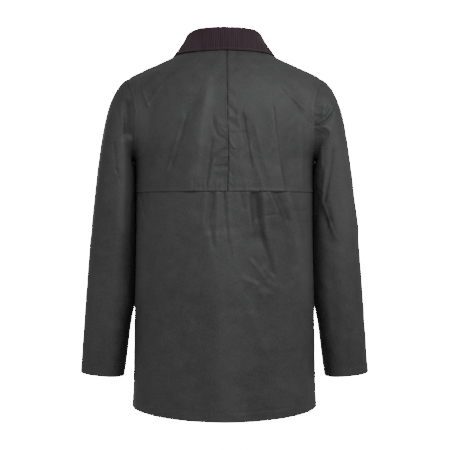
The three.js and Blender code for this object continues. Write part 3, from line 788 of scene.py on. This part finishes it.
# Lower back
# One plain piece of waxed cotton from side seam to side seam. Its top goes under the upper
# back's felled edge, and its hem is turned up 20 mm inside and stitched.
HEM_TURN = 20
LOWER_BACK_CREASES = [
    (24, -306, 31, -361, 0, 4.4, -3.0),
    (31, -372, 21, -419, 0, 4.9, 4.4, -2.2),
    (38, -310, 44, -376, 0, 4.8, 4.2, 2.2),
    (15, -310, 17, -405, 0, 4.4, 2.0),
    (1, -304, -1, -352, 0, 3.2, -2.6),
    (-2, -360, -14, -440, 0, 2.9, -1.4),
    (-7, -308, -12, -401, 0, 3.6, 5.2, 1.6),
    (-32, -304, -40, -339, 0, 2.9, -1.5),
    (-48, -306, -55, -388, 0, 5.2, 3.6, 2.0),
    (-61, -290, -67, -358, 0, 8, 11.5, -6.2),
    (-72, -377, -78, -405, 0, 6.5, 9.5, -4.4),
    (-83, -421, -97, -468, 2.1, 5, 8, -3.2),
    (-90, -401, -106, -462, 0, 10.3, 4.1, 1.6),
    (-63, -446, -83, -471, 0, 3.7, -1.4),
    (-80, -298, -88, -388, 0, 12.3, 3.7, 3.2),
    (-92, -306, -111, -349, 0, 4.2, 3.0, 3.0),
    (-102, -298, -129, -362, 0, 5, 7, -3.2),
    (-127, -347, -132, -389, 0, 6.6, -1.7),
    (-135, -405, -149, -456, 0, 7, -1.6),
    (-83, -355, -109, -352, 0, 2.7, -1.3),
    (-131, -302, -152, -368, 0, 14.4, 5.3, 2.2),
    (-156, -385, -163, -450, 0, 16.4, 6.2, 1.6),
    (-145, -344, -172, -344, 0, 2.7, -1),
    (-155, -369, -176, -369, 0, 2.7, -1),
    (-58, -450, -81, -479, 0, 4.6, 2.1),
    (-39, -484, -68, -497, 0, 5, 1.7),
    (-68, -497, -86, -530, 0, 5, 2.0),
    (-83, -467, -102, -483, 0, 4.6, 1.8),
    (-56, -560, -84, -628, 0, 12, 2.2),
    (-73, -493, -104, -512, 0, 7.8, -1.8),
    (-51, -508, -71, -549, 0, 8.2, -0.9),
    (178, -308, 167, -351, 0, 4.1, -1.5),
    (155, -308, 153, -351, 0, 4.9, 0.7),
    (17, -397, -5, -785, 0, 24.6, 41.1, 4.2),
    (58, -528, 52, -770, 0, 26.7, -1.6),
    (-85, -528, -79, -770, 0, 26.7, -2.6),
    (-172, -662, -174, -770, 0, 4.9, 1),
    (-182, -641, -182, -775, 0, 4.1, -0.9),
    (184, -651, 186, -775, 0, 4.9, 0.8),
]
LOWER_BACK_COLUMNS = 213
SIDE_STITCH = 5.5


def turned_up(over, turn):
    """The step that a turned edge shows outside, with the groove of its stitches."""
    return 0.3 * smoothstep(turn - over, -0.5, 1.5) - 0.45 * crest(over - turn, 1.6)


def turned_thick(over, turn, more):
    """How much thicker the cloth is where it is turned in."""
    return more * smoothstep(turn + 1 - over, 0, 1.5)


heights = np.concatenate([row_heights(SIDE_HEM_Z, CROSS_SEAM_Z - 0.5, 2.2),
                          CROSS_SEAM_Z + np.array([0.6, 4.0, 8.0])])
z0 = heights[:, None]
across = np.linspace(1, -1, LOWER_BACK_COLUMNS)[None, :]
edge = edge_angle(1, z0)
angle = math.pi / 2 + (edge - math.pi / 2) * np.abs(across)
height = dropped(1, angle, z0)
angle = np.where(across < 0, math.pi - angle, angle)
base = body_point(angle, height)
x, z = base[..., 0], base[..., 2]
below_cross = CROSS_SEAM_Z - z0
over_hem = z0 - SIDE_HEM_Z
side_gap = distances(base, 1)
side_gap = np.minimum(side_gap, side_gap[:, -1:] - side_gap)
drawn_in = smoothstep(100 - np.abs(x + 10), 0, 50)
lift = fold_height(LOWER_BACK_CREASES, x, z, 1.5)
lift += 0.25 * ripples(x, z, 21, 26, 22, 75)
lift += 0.5 * puckers(x, below_cross, 9, 12, 8) * drawn_in
lift += 0.16 * puckers(x, below_cross, 6, 9, 8)
lift += 0.18 * puckers(x, over_hem - HEM_TURN, 17, 9, 11)
lift += 0.2 * puckers(z, side_gap, 19, 10, 16)
lift += turned_up(over_hem, HEM_TURN)
lift += seam_ridge(side_gap, 5, 0.4) * smoothstep(below_cross, 0, 12)
under = smoothstep(1.0 - below_cross, 0, 1.4)
lift = lift * (1 - under) - LAP_DEPTH["cross"] * under
thick = CLOTH + turned_thick(over_hem, HEM_TURN, 1.2)
surface, facing = panel("lower_back", "back_lower", base, facing_out(base, 1), lift, 1,
                        BACK_PAINTED_SHADING + SIDE_PAINTED_LIGHT, thick)
back_stitches.append(line_along(surface, facing, over_hem, HEM_TURN))
rows_in = (heights < CROSS_SEAM_Z - 2) & (heights > SIDE_HEM_Z + 1)
half = surface.shape[1] // 2
for part in (slice(0, half), slice(half, None)):
    back_stitches.append(line_at(surface[rows_in, part], facing[rows_in, part],
                                 side_gap[rows_in, part], SIDE_STITCH))
dress(stitches("back_stitching", back_stitches), thread)

# Fronts, left and right
# Two plain pieces of waxed cotton. Each laps under the back at the side and shoulder seams,
# and its front edge is turned in and stitched down beside the zip.
FRONT_EDGE_X = 6.5
FRONT_COLUMNS = 70
SIDE_LAP = 8
FRONT_EDGE_STITCHES = (1.8, 7.5)
FRONT_CREASES = [
    (118, -78, 60, -190, 3, 8, -1.1),
    (60, -150, 78, -300, -2, 6, 1.0),
    (140, -100, 168, -150, 0, 4, 1.1),
    (150, -92, 174, -134, 0, 4, -1.0),
    (150, -235, 110, -330, 4, 7, -1.4),
    (165, -262, 120, -372, 4, 5, 1.1),
    (92, -420, 120, -560, -3, 9, 1.2),
    (30, -360, 44, -520, 0, 9, -1.0),
    (60, -560, 66, -740, 0, 14, 1.4),
    (-95, -90, -70, -200, -3, 8, -1.1),
    (-72, -170, -92, -310, 2, 6, 1.0),
    (-138, -104, -172, -148, 0, 4, 1.1),
    (-158, -240, -104, -322, -4, 6, -1.3),
    (-170, -270, -126, -350, -3, 5, 1.0),
    (-40, -330, -52, -470, 0, 8, 1.0),
    (-120, -430, -108, -590, 3, 10, -1.2),
    (-60, -590, -54, -745, 0, 15, 1.2),
    (-150, -560, -148, -750, 0, 12, -1.0),
]
front_stitches = []
for side, name in SIDES:
    heights = row_heights(SIDE_HEM_Z, 0, 3.0)
    edge_x = np.full(len(heights), side * FRONT_EDGE_X)
    base = panel_grid(-1, side, heights, edge_x, FRONT_COLUMNS, SIDE_LAP)
    x, z = base[..., 0], base[..., 2]
    z0 = heights[:, None]
    from_edge = distances(base, 1)
    last = from_edge[:, FRONT_COLUMNS - 1:FRONT_COLUMNS]
    to_side = np.maximum(last - from_edge, 0)
    over_hem = z0 - SIDE_HEM_Z
    lift = fold_height(FRONT_CREASES, x, z, 1.5) + 0.24 * ripples(x, z, 31 + side, 26, 20, 70)
    lift += 0.2 * puckers(z, from_edge - 7, 33 + side, 9, 12)
    lift += 0.2 * puckers(z, to_side, 35 + side, 10, 15)
    lift += 0.18 * puckers(x, over_hem - HEM_TURN, 37 + side, 9, 11)
    lift += turned_up(over_hem, HEM_TURN)
    along_arm = smoothstep(-z0, *WELT_FROM) * smoothstep(z0, UNDERARM_Z, UNDERARM_Z + 12)
    lift += seam_ridge(to_side, 6, 0.6) * along_arm
    lift -= 0.4 * crest(from_edge - 7.5, 1.5)
    under = smoothstep(from_edge - last, -1.2, 0.6) * smoothstep(off_armhole(z0), 0.995, 1.03)
    lift = lift * (1 - under) - LAP_DEPTH["side"] * under
    thick = CLOTH + turned_thick(over_hem, HEM_TURN, 1.1)
    surface, facing = panel(f"front_panel_{name}", f"front_{name}", base, facing_out(base, -1),
                            lift, -1, SIDE_PAINTED_LIGHT, thick)
    rows_in = heights > SIDE_HEM_Z + 1
    for wanted in FRONT_EDGE_STITCHES:
        front_stitches.append(line_at(surface[rows_in], facing[rows_in], from_edge[rows_in], wanted))
    rows_in = (heights < ARM_STITCH["front_top"]) & (heights > UNDERARM_Z + 2)
    front_stitches.append(line_at(surface[rows_in], facing[rows_in],
                                  (last - from_edge)[rows_in], ARM_STITCH["in"]))
    seen = slice(0, FRONT_COLUMNS)
    front_stitches.append(line_along(surface[:, seen], facing[:, seen], over_hem, HEM_TURN))
dress(stitches("front_stitching", front_stitches), thread)

# Sleeves, left and right
# Each is one piece of waxed cotton set into the armhole, under the body's stitched edge,
# closed by a seam under the arm. The cuff is plain, turned in 22 mm and stitched.
CUFF_TURN = 22
SEAM_GAP = 0.3
UNDERARM_STEP = 0.8
HEAD_RINGS = 3
SLEEVE_SQUARE = 0.5
SLEEVE_COLUMNS = 144
LAST_RING = 13
# Millimetres of cloth to a radian round the sleeve: in all, and off the underarm seam
TURN_LENGTH = {"around": 55, "off_seam": 60}
# How far the sleeve's inner side goes out to the body, so that no light falls between them
INNER_SIDE_OUT = 1.8
# The sleeve's edge lies this far under the body's face, and its lap goes on from there: each
# row's reach past the armhole and its depth
SET_IN = 0.9
SLEEVE_LAP = [(7, 2.2), (3, 2.1), (0.8, 1.7)]
LAP_CLOTH = 0.9
# The columns lie closer together behind the arm, where the head's wrinkles are
FINE_COLUMNS = {"around": 1.75, "by": 0.45, "start": -0.38}
# Each ring: number, outer x and z, inner x and z, middle in depth, half depth, drop behind
SLEEVE = [
    (0, 204, -59, 194, -235, 0, 75, 0),
    (1, 213, -64, 195.4, -237.5, 0, 76.5, 0),
    (2, 225, -76, 195.6, -240, 0, 78, 0),
    (3, 237, -95, 194.6, -243, -1, 79, 0),
    (4, 248, -122, 193.6, -247, -2, 80, 0),
    (5, 257, -160, 192.6, -254, -3, 80, 0),
    (6, 266, -212, 191.2, -268, -5, 79, 0),
    (7, 275, -277, 190.2, -300, -8, 76, 0),
    (8, 284, -355, 190.2, -367, -14, 71, 0.5),
    (9, 292.5, -438, 191, -446, -22, 65, 1),
    (10, 299, -512, 193.2, -520, -29, 60, 2),
    (11, 304.5, -581, 205, -590, -36, 56, 3),
    (12, 309.6, -647, 213.5, -657, -41, 52, 3.5),
    (13, 313, -691, 220, -700, -45, 49.5, 4),
]
# As seen from behind, x counted outwards from the middle of the body
SLEEVE_BACK_CREASES = {
    -1: [
        (191, -162, 229, -125, 4.7, 2.9, 2.6),
        (189, -149, 208, -146, 0, 3.4, -2.6),
        (213, -139, 218, -126, 0, 2.7, -2.2),
        (205, -146, 209, -127, 0, 2.3, 1.4),
        (189, -131, 206, -128, 0, 3.2, -2),
        (193, -121, 225, -121, 0, 2.5, 1),
        (189, -168, 226, -143, 4.7, 3.2, -2.8),
        (193, -172, 216, -173, -4, 2.8, 2.2),
        (221, -179, 208, -204, -5, 3, 2.8),
        (204, -211, 205, -247, 0, 3, 2),
        (189, -184, 207, -184, 0, 8.4, -3),
        (189, -197, 200, -197, 0, 5.3, -0.9),
        (196, -78, 206, -78, 0, 3.2, -1.6),
        (193, -94, 204, -94, 0, 2.5, -1.4),
        (227, -220, 210, -323, -1, 3.8, -2.4),
        (212, -262, 205, -332, 0, 3.2, 1.6),
        (191, -294, 204, -307, 0, 2.7, -2),
        (196, -317, 215, -368, 0, 9.5, -3.4),
        (215, -368, 225, -412, 0, 10.6, -2.2),
        (210, -334, 223, -374, 0, 3.4, 2.2),
        (223, -374, 234, -399, 0, 3.8, 1.8),
        (250, -173, 267, -321, 0, 2.7, 0.9),
        (267, -321, 274, -368, 0, 3, 0.9),
        (236, -368, 278, -359, 0, 46.5, 4.5),
        (240, -431, 261, -558, 0, 13.7, 1.3),
        (225, -471, 238, -600, 0, 10.6, -1.3),
        (261, -589, 267, -689, 0, 9.5, -1),
    ],
    1: [
        (206, -118, 202, -182, 0, 10, -6),
        (198, -72, 191, -123, 0, 3.8, -2.2),
        (204, -188, 191, -200, 0, 3.2, 2.4),
        (212, -148, 212, -186, 0, 4.6, 1.2),
        (231, -205, 226, -258, 0, 3.2, -1.6),
        (226, -258, 218, -285, 0, 3.2, -1.5),
        (210, -203, 212, -389, 0, 8.4, 1.6),
        (233, -118, 227, -152, 0, 5.1, 0.8),
        (214, -260, 220, -431, 0, 11.6, 0.8),
        (202, -330, 206, -480, 0, 8.9, -1.6),
        (246, -359, 263, -520, 0, 15.8, -1.2),
        (227, -469, 242, -619, 0, 11.6, 1.1),
        (252, -560, 268, -689, 0, 10.6, -1),
    ],
}
# Painted light and shade behind each sleeve: paler down its middle and beside the body, where shade falls,
# darker in a hollow by the left armhole and near the right cuff
SLEEVE_PAINTED_SHADING = {
    -1: [
        (248, -230, 250, -400, 0, 34, 2.0),
        (206, -215, 206, -310, 0, 14, 5),
        (270, -520, 280, -680, 0, 40, -0.4),
    ],
    1: [
        (238, -300, 242, -460, 0, 30, 0.5),
        (207, -190, 210, -350, 0, 14, 4.5),
        (210, -100, 206, -165, 0, 17, -3),
    ],
}
SLEEVE_FRONT_CREASES = [
    (196, -150, 214, -186, 0, 8, -2.8),
    (200, -196, 222, -232, -3, 5, 1.8),
    (208, -330, 240, -352, 2, 7, -2.2),
    (204, -366, 246, -384, 3, 6, 1.6),
    (206, -398, 244, -420, 2, 7, -1.8),
    (214, -448, 256, -476, 3, 7, 1.2),
    (250, -180, 262, -300, 0, 12, 1.2),
    (232, -520, 250, -640, 0, 11, -1.1),
]
sleeve_table = smooth_table(SLEEVE)


def mirrored_body(angle, z, side):
    """The body's surface on one side, as if it were the left."""
    point = body_point(angle if side > 0 else math.pi - angle, z)
    return point * np.array([side, 1, 1])


def body_normal(angle, z, side=1):
    """The direction out of the body's surface."""
    along = mirrored_body(angle + 0.004, z, side) - mirrored_body(angle - 0.004, z, side)
    return unit(np.cross(along, mirrored_body(angle, z + 0.5, side) - mirrored_body(angle, z - 0.5, side)))


def armhole(turn, side, grow):
    """The line that a sleeve starts on: z = middle + height cos, y = depth sin on the
    body's surface, with the directions off the body's edge and out of its face. Grown past
    the edge, it lies under the body's cloth instead."""
    def place(t):
        z = ARMHOLE_MIDDLE_Z + (ARMHOLE_HALF_HEIGHT + grow) * np.cos(t)
        deep = (ARMHOLE_HALF_DEPTH + grow) * np.sin(t)
        return np.arcsin(deep / np.where(deep > 0, body(2, z), body(3, z))), z

    angle, z = place(turn)
    start = mirrored_body(angle, z, side)
    ahead, behind = mirrored_body(*place(turn + 0.01), side), mirrored_body(*place(turn - 0.01), side)
    normal = body_normal(angle, z, side)
    away = unit(np.cross(ahead - behind, normal))
    middle = np.array([body(1, ARMHOLE_MIDDLE_Z), 0, ARMHOLE_MIDDLE_Z])
    outward = np.sum(away * (start - middle), -1, keepdims=True) > 0
    return start, np.where(outward, -away, away), normal


def rail(column, ring):
    """The sleeve's outer edge, column 1, or inner edge, column 3, as x and z."""
    return np.stack([sleeve_table(column, ring), sleeve_table(column + 1, ring)], -1)


def sleeve_planar(turn, ring):
    """A ring of the sleeve: middle + half (outer - inner) cos^(2/n), depth = middle + half
    sin^(2/n), n being 2, an ellipse, at the armhole and more below it."""
    power = 2 / (2 + SLEEVE_SQUARE * smoothstep(ring, 2, 6))
    cos = np.sign(np.cos(turn)) * np.abs(np.cos(turn)) ** power
    sin = np.sign(np.sin(turn)) * np.abs(np.sin(turn)) ** power
    outer, inner = rail(1, ring), rail(3, ring)
    place = (outer + inner) / 2 + (outer - inner) / 2 * cos[..., None]
    y = sleeve_table(5, ring) + sleeve_table(6, ring) * sin
    return np.stack([place[..., 0], y, place[..., 1] - sleeve_table(7, ring) * sin], -1)


def sleeve_rows(step=3.1):
    """Ring numbers whose rails lie about one step apart."""
    ring = np.linspace(0, LAST_RING, 400)
    spans = [np.linalg.norm(np.diff(rail(column, ring), axis=0), axis=1) for column in (1, 3)]
    total = np.concatenate([[0], np.cumsum(np.maximum(*spans))])
    return np.interp(np.linspace(0, total[-1], round(total[-1] / step)), total, ring)


def facing_round(grid, centre):
    """A tube's normals, turned away from its middle line."""
    normals = normals_of(grid, ring=True)
    return normals * np.sign(np.sum(normals * (grid - centre), -1).mean())


sleeve_stitches = []
rings = sleeve_rows()
turns = np.linspace(0, 2 * math.pi, SLEEVE_COLUMNS, endpoint=False) + FINE_COLUMNS["start"]
turns = turns - FINE_COLUMNS["by"] * np.sin(turns - FINE_COLUMNS["around"])
for side, name in SIDES:
    turn, ring = np.meshgrid(turns, rings)
    start, away, hole_normal = armhole(turns, side, 0)
    step = UNDERARM_STEP * (0.5 - 0.5 * np.cos(turns))[:, None]
    edge = start + away * SEAM_GAP + hole_normal * (step - SET_IN)
    offset = edge - sleeve_planar(turns, 0 * turns)
    ease = (1 - np.clip(ring / HEAD_RINGS, 0, 1)) ** 3
    base = sleeve_planar(turn, ring) + offset[None] * ease[..., None]
    hidden = []
    for grow, depth in SLEEVE_LAP:
        lap_start, _, lap_normal = armhole(turns, side, grow)
        hidden.append(lap_start - lap_normal * depth)
    centre = base.mean(axis=1, keepdims=True)
    normal = facing_round(base, centre)
    x, y, z = base[..., 0], base[..., 1], base[..., 2]
    behind = smoothstep(normal[..., 1], 0.0, 0.35)
    before = smoothstep(-normal[..., 1], 0.0, 0.35)
    down = distances(base, 0)
    from_cuff = down[-1:] - down
    around = turn * TURN_LENGTH["around"]
    seam_off = np.abs(turn - math.pi) * TURN_LENGTH["off_seam"]
    lift = behind * fold_height(SLEEVE_BACK_CREASES[side], x, z, 1.3)
    lift += before * fold_height(SLEEVE_FRONT_CREASES, x, z, 1.3)
    lift += 0.22 * ripples(x + y, z, 51 + side, 24, 20, 65)
    lift += 0.25 * puckers(down, seam_off, 53 + side, 10, 13)
    lift -= 0.4 * crest(seam_off, 1.8)
    lift += 0.3 * puckers(around, down, 55 + side, 10, 10)
    lift += 0.2 * puckers(around, from_cuff - CUFF_TURN, 57 + side, 8, 10)
    lift += turned_up(from_cuff, CUFF_TURN)
    inner_side = smoothstep(-np.cos(turn), 0.88, 0.97) * smoothstep(down, 3, 24)
    lift *= smoothstep(down, 0, 6)
    lift = lift * (1 - inner_side) + (INNER_SIDE_OUT + 0.3 * np.abs(lift)) * inner_side
    surface = base + normal * lift[..., None]
    facing = facing_round(surface, centre)
    lap_facing = np.repeat(hole_normal[None], len(SLEEVE_LAP), 0)
    whole_facing = np.concatenate([lap_facing, facing])
    # The first two rows outside turn by degrees from the lap's direction to their own
    first = len(SLEEVE_LAP)
    whole_facing[first] += hole_normal
    whole_facing[first + 1] = whole_facing[first + 1] * 2 + hole_normal
    lap_shape = (len(SLEEVE_LAP), len(turns))
    thick = np.concatenate([np.full(lap_shape, LAP_CLOTH), CLOTH + turned_thick(from_cuff, CUFF_TURN, 1.1)])
    # Painted light and shade behind the sleeve, with crests paler and troughs darker
    painted_shade_and_wear_map = behind * fold_height(SLEEVE_PAINTED_SHADING[side], x, z, PAINTED_PATCH_FADE) + CREST_WEAR_AND_TROUGH_SHADE * lift
    painted_shade_and_wear_map = np.concatenate([np.zeros(lap_shape), painted_shade_and_wear_map])
    mirror = np.array([side, 1, 1])
    whole = np.concatenate([np.stack(hidden), surface])
    hang(cloth_wall(f"sleeve_cloth_{name}", whole * mirror, unit(whole_facing) * mirror, thick,
                    ring=True, wear_and_painted_shade=painted_shade_and_wear_map), f"sleeve_{name}")
    cuff = line_along(surface, facing, -from_cuff, -CUFF_TURN)
    sleeve_stitches.append([np.concatenate([part, part[:1]]) * mirror for part in cuff])
dress(stitches("sleeve_stitching", sleeve_stitches), thread)

# Collar
# A stand and a fall in one piece of brown fine corduroy, folded over, with its neck edge
# sewn into the neckline and its other edges stitched. The ribs run from stand to fall.
COLLAR_CLOTH = 2.4
COLLAR_STITCH = 6.5
# Each row: degrees round the neck, the fall edge's degrees, stand, edge height, clearance
COLLAR = [
    (0, 0, 46, -7, 0.5),
    (45, 45, 42, -9, 0.5),
    (90, 90, 33, -12, 0.4),
    (130, 126, 33, -36, 2.2),
    (158, 148, 31, -82, 3),
    (179, 166, 29, -122, 4),
]
STAND_LEAN = 5
FOLD_RADIUS = 3.6
FALL_ROLL = {"behind": 0.35, "beside": 0.02}
# The stand's lowest row goes on under the neckline, down and in
STAND_ROOT = {"down": 5.0, "in": 0.8}
UP = np.array([0, 0, 1.0])
collar_table = smooth_table(COLLAR)


def neckline(round_by):
    """The neck edge of the body at some degrees round from the centre back, on the left."""
    angle = np.radians(90 - round_by)
    high = 0 * round_by
    z = np.where(angle > 0, dropped(1, np.abs(angle), high), dropped(-1, np.abs(angle), high))
    return body_point(angle, z)


def collar_half(rounds, stand_steps, bend_steps, fall_steps):
    """Half of the collar's middle layer: straight up the stand, half a circle over the
    fold, and down the fall by a curve of second degree to its edge off the body."""
    edge_turn = np.radians(90 - collar_table(1, rounds))
    edge_z = collar_table(3, rounds)
    clear = (collar_table(4, rounds) + COLLAR_CLOTH / 2)[:, None]
    edge = body_point(edge_turn, edge_z) + body_normal(edge_turn, edge_z) * clear
    out = unit(np.cross(UP, neckline(rounds + 1) - neckline(rounds - 1)))
    seam = neckline(rounds) - out * COLLAR_CLOTH / 2 + UP * SEAM_GAP
    rise = (collar_table(2, rounds) - FOLD_RADIUS - COLLAR_CLOTH / 2)[:, None]
    fold = seam + out * (FOLD_RADIUS - STAND_LEAN) + UP * rise
    top = fold - out * FOLD_RADIUS
    rows = [seam - UP * STAND_ROOT["down"] - out * STAND_ROOT["in"]]
    rows += [seam + (top - seam) * t for t in np.linspace(0, 1, stand_steps, endpoint=False)]
    for turn in np.linspace(0, math.pi, bend_steps, endpoint=False):
        rows.append(fold + FOLD_RADIUS * (UP * math.sin(turn) - out * math.cos(turn)))
    start = fold + out * FOLD_RADIUS
    reach = np.linalg.norm(start - edge, axis=-1, keepdims=True)
    beside = smoothstep(rounds, 40, 80)[:, None]
    roll = FALL_ROLL["behind"] + (FALL_ROLL["beside"] - FALL_ROLL["behind"]) * beside
    bulge = start - UP * roll * reach
    for t in np.linspace(0, 1, fall_steps):
        first, second = start + (bulge - start) * t, bulge + (edge - bulge) * t
        rows.append(first + (second - first) * t)
    return np.stack(rows)


rounds = np.concatenate([np.linspace(0, 92, 60, endpoint=False), np.linspace(92, 179, 80)])
half = collar_half(rounds, 16, 14, 30)
middle_layer = np.concatenate([half[:, :0:-1] * np.array([-1, 1, 1]), half], axis=1)
centre_back = len(rounds) - 1
facing = normals_of(middle_layer)
facing = facing * np.sign(facing[-1, centre_back, 1])
along = distances(middle_layer, 1)
along = along - along[:, centre_back, None]
down = distances(middle_layer, 0)
from_edge = down[-1:] - down
rim = np.minimum(from_edge, along[:, -1:] - np.abs(along))
lift = 0.35 * ripples(along, down * 0.35, 61, 24, 9, 50)
lift -= 0.5 * crest(rim - COLLAR_STITCH, 1.6)
lift += 0.9 * puckers(along, from_edge - 9, 63, 11, 8)
surface = middle_layer + facing * (lift + COLLAR_CLOTH / 2)[..., None]
rounded = COLLAR_CLOTH * (0.55 + 0.45 * np.sqrt(smoothstep(rim, 0, 2.2)))
CORDUROY_TONES = [(0.25, (0.0135, 0.0077, 0.0105)), (0.85, (0.064, 0.038, 0.051))]


def corduroy():
    """Dark brown corduroy: soft ribs 2 mm apart with a pile that catches the light."""
    material, tree, shader = new_material("corduroy")
    place = object_place(tree)
    cloth = cloth_place(tree)
    rib = waves(tree, cloth, "X", 80, 0.8, 0.6)
    combed = output(tree, "ShaderNodeMapping", "Vector", None, {"Vector": cloth, "Scale": (1, 0.1, 1)})
    streaks = noise(tree, combed, 150, 4)
    tufts = noise(tree, place, 700, 3)
    tone = rib * 0.3 + tufts * 0.25 + noise(tree, place, 30, 3) * 0.2 + streaks * 0.42 - 0.01
    give(tree, shader, {
        "Base Color": dye(tree, tone, CORDUROY_TONES),
        "Roughness": 0.9,
        "Specular IOR Level": 0.25,
        "Sheen Weight": 0.25,
        "Sheen Roughness": 0.5,
        "Sheen Tint": (0.6, 0.45, 0.45, 1),
        "Normal": emboss(tree, rib * 0.7 + tufts * 0.3 + streaks * 0.6, 0.7, 0.0006),
    })
    return material


piece = dress(cloth_wall("collar_cloth", surface, facing, rounded + lift), corduroy())
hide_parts("collar")
rows_in = from_edge[:, 0] < 12
columns_in = slice(3, -3)
collar_line = line_along(surface[rows_in, columns_in], facing[rows_in, columns_in],
                         from_edge[rows_in, columns_in], COLLAR_STITCH)
dress(stitches("collar_stitching", [collar_line]), thread)

# Zip
# Two woven tapes sewn behind the front edges, each with its half of the brass teeth, and a
# slider with its pull at the top. The slider and pull are the solids, in worn brass.
ZIP_TAPE_X = (0.9, 17)
ZIP_TAPE_THICK = 1
ZIP_TAPE_BEHIND = 0.35
ZIP_HEM_MARGIN = 6
ZIP_NECK_MARGIN = 3
TOOTH = {"pitch": 3.0, "size": (3.4, 1.5, 2.2), "x": 1.5, "behind": 0.5, "edge": 0.0003}
TEETH_Z = (SIDE_HEM_Z + 12, -8)
BRASS_TONES = [(0.3, (0.26, 0.17, 0.075)), (0.7, (0.52, 0.38, 0.18))]
TAPE_TONES = [(0, (0.012, 0.010, 0.010)), (1, (0.036, 0.031, 0.028))]


def brass():
    """Satin brass, aged a little browner in patches."""
    material, tree, shader = new_material("worn_brass")
    place = object_place(tree)
    patina = noise(tree, place, 160, 4)
    scratches = noise(tree, place, 1400, 2)
    give(tree, shader, {
        "Base Color": dye(tree, patina, BRASS_TONES),
        "Metallic": 1,
        "Roughness": patina * 0.2 + scratches * 0.15 + 0.2,
        "Normal": emboss(tree, scratches, 0.2, 0.0002),
    })
    return material


def zip_tape():
    """Dark woven tape with a herringbone of fine ridges."""
    material, tree, shader = new_material("zip_tape")
    ridges = waves(tree, cloth_place(tree), "DIAGONAL", 260, 1.0)
    give(tree, shader, {
        "Base Color": dye(tree, ridges, TAPE_TONES),
        "Roughness": 0.85,
        "Normal": emboss(tree, ridges, 0.4, 0.0003),
    })
    return material


worn_brass = brass()
tape_cloth = zip_tape()
box_corners = np.array([(a, b, c) for a in (-0.5, 0.5) for b in (-0.5, 0.5) for c in (-0.5, 0.5)])
box_faces = np.array([(0, 1, 3, 2), (4, 6, 7, 5), (0, 4, 5, 1), (2, 3, 7, 6), (0, 2, 6, 4), (1, 5, 7, 3)])
right = np.array([1.0, 0, 0])
for side, name in SIDES:
    heights = np.linspace(SIDE_HEM_Z + ZIP_HEM_MARGIN, -ZIP_NECK_MARGIN, 260)
    z0 = heights[:, None]
    angle = np.arccos(np.linspace(*ZIP_TAPE_X, 9)[None, :] / body(1, dropped(-1, math.pi / 2, z0)))
    base = body_point(-angle if side > 0 else angle - math.pi, dropped(-1, angle, z0))
    normal = facing_out(base, -1)
    tape = base - normal * (CLOTH + ZIP_TAPE_BEHIND)
    piece = dress(cloth_wall(f"tape_{name}", tape, normal, ZIP_TAPE_THICK), tape_cloth)
    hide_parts(f"zip_{name}")
    tooth_at = np.arange(*TEETH_Z, TOOTH["pitch"]) + (0 if side > 0 else TOOTH["pitch"] / 2)
    places = read_line(tooth_at, heights, base[:, 1])
    places[:, 0] = side * TOOTH["x"]
    outward = read_line(tooth_at, heights, normal[:, 1])
    outward[:, 0] = 0
    outward = unit(outward)
    up = np.cross(outward, right)
    up = up * np.sign(up[:, 2:3])
    places = places - outward * (TOOTH["behind"] + TOOTH["size"][2] / 2)
    corners = box_corners * np.array(TOOTH["size"])
    teeth = (places[:, None] + right * corners[None, :, :1] + up[:, None] * corners[None, :, 1:2]
             + outward[:, None] * corners[None, :, 2:])
    faces = (box_faces[None] + 8 * np.arange(len(places))[:, None, None]).reshape(-1, 4)
    row = new_piece(f"teeth_{name}", teeth.reshape(-1, 3), faces, smooth=False)
    dress(row, worn_brass)
    row.modifiers.new("rounded", "BEVEL").width = TOOTH["edge"]

for node in ("zip_slider", "zip_pull"):
    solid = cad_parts[node]
    solid.data.materials.clear()
    solid.data.materials.append(worn_brass)
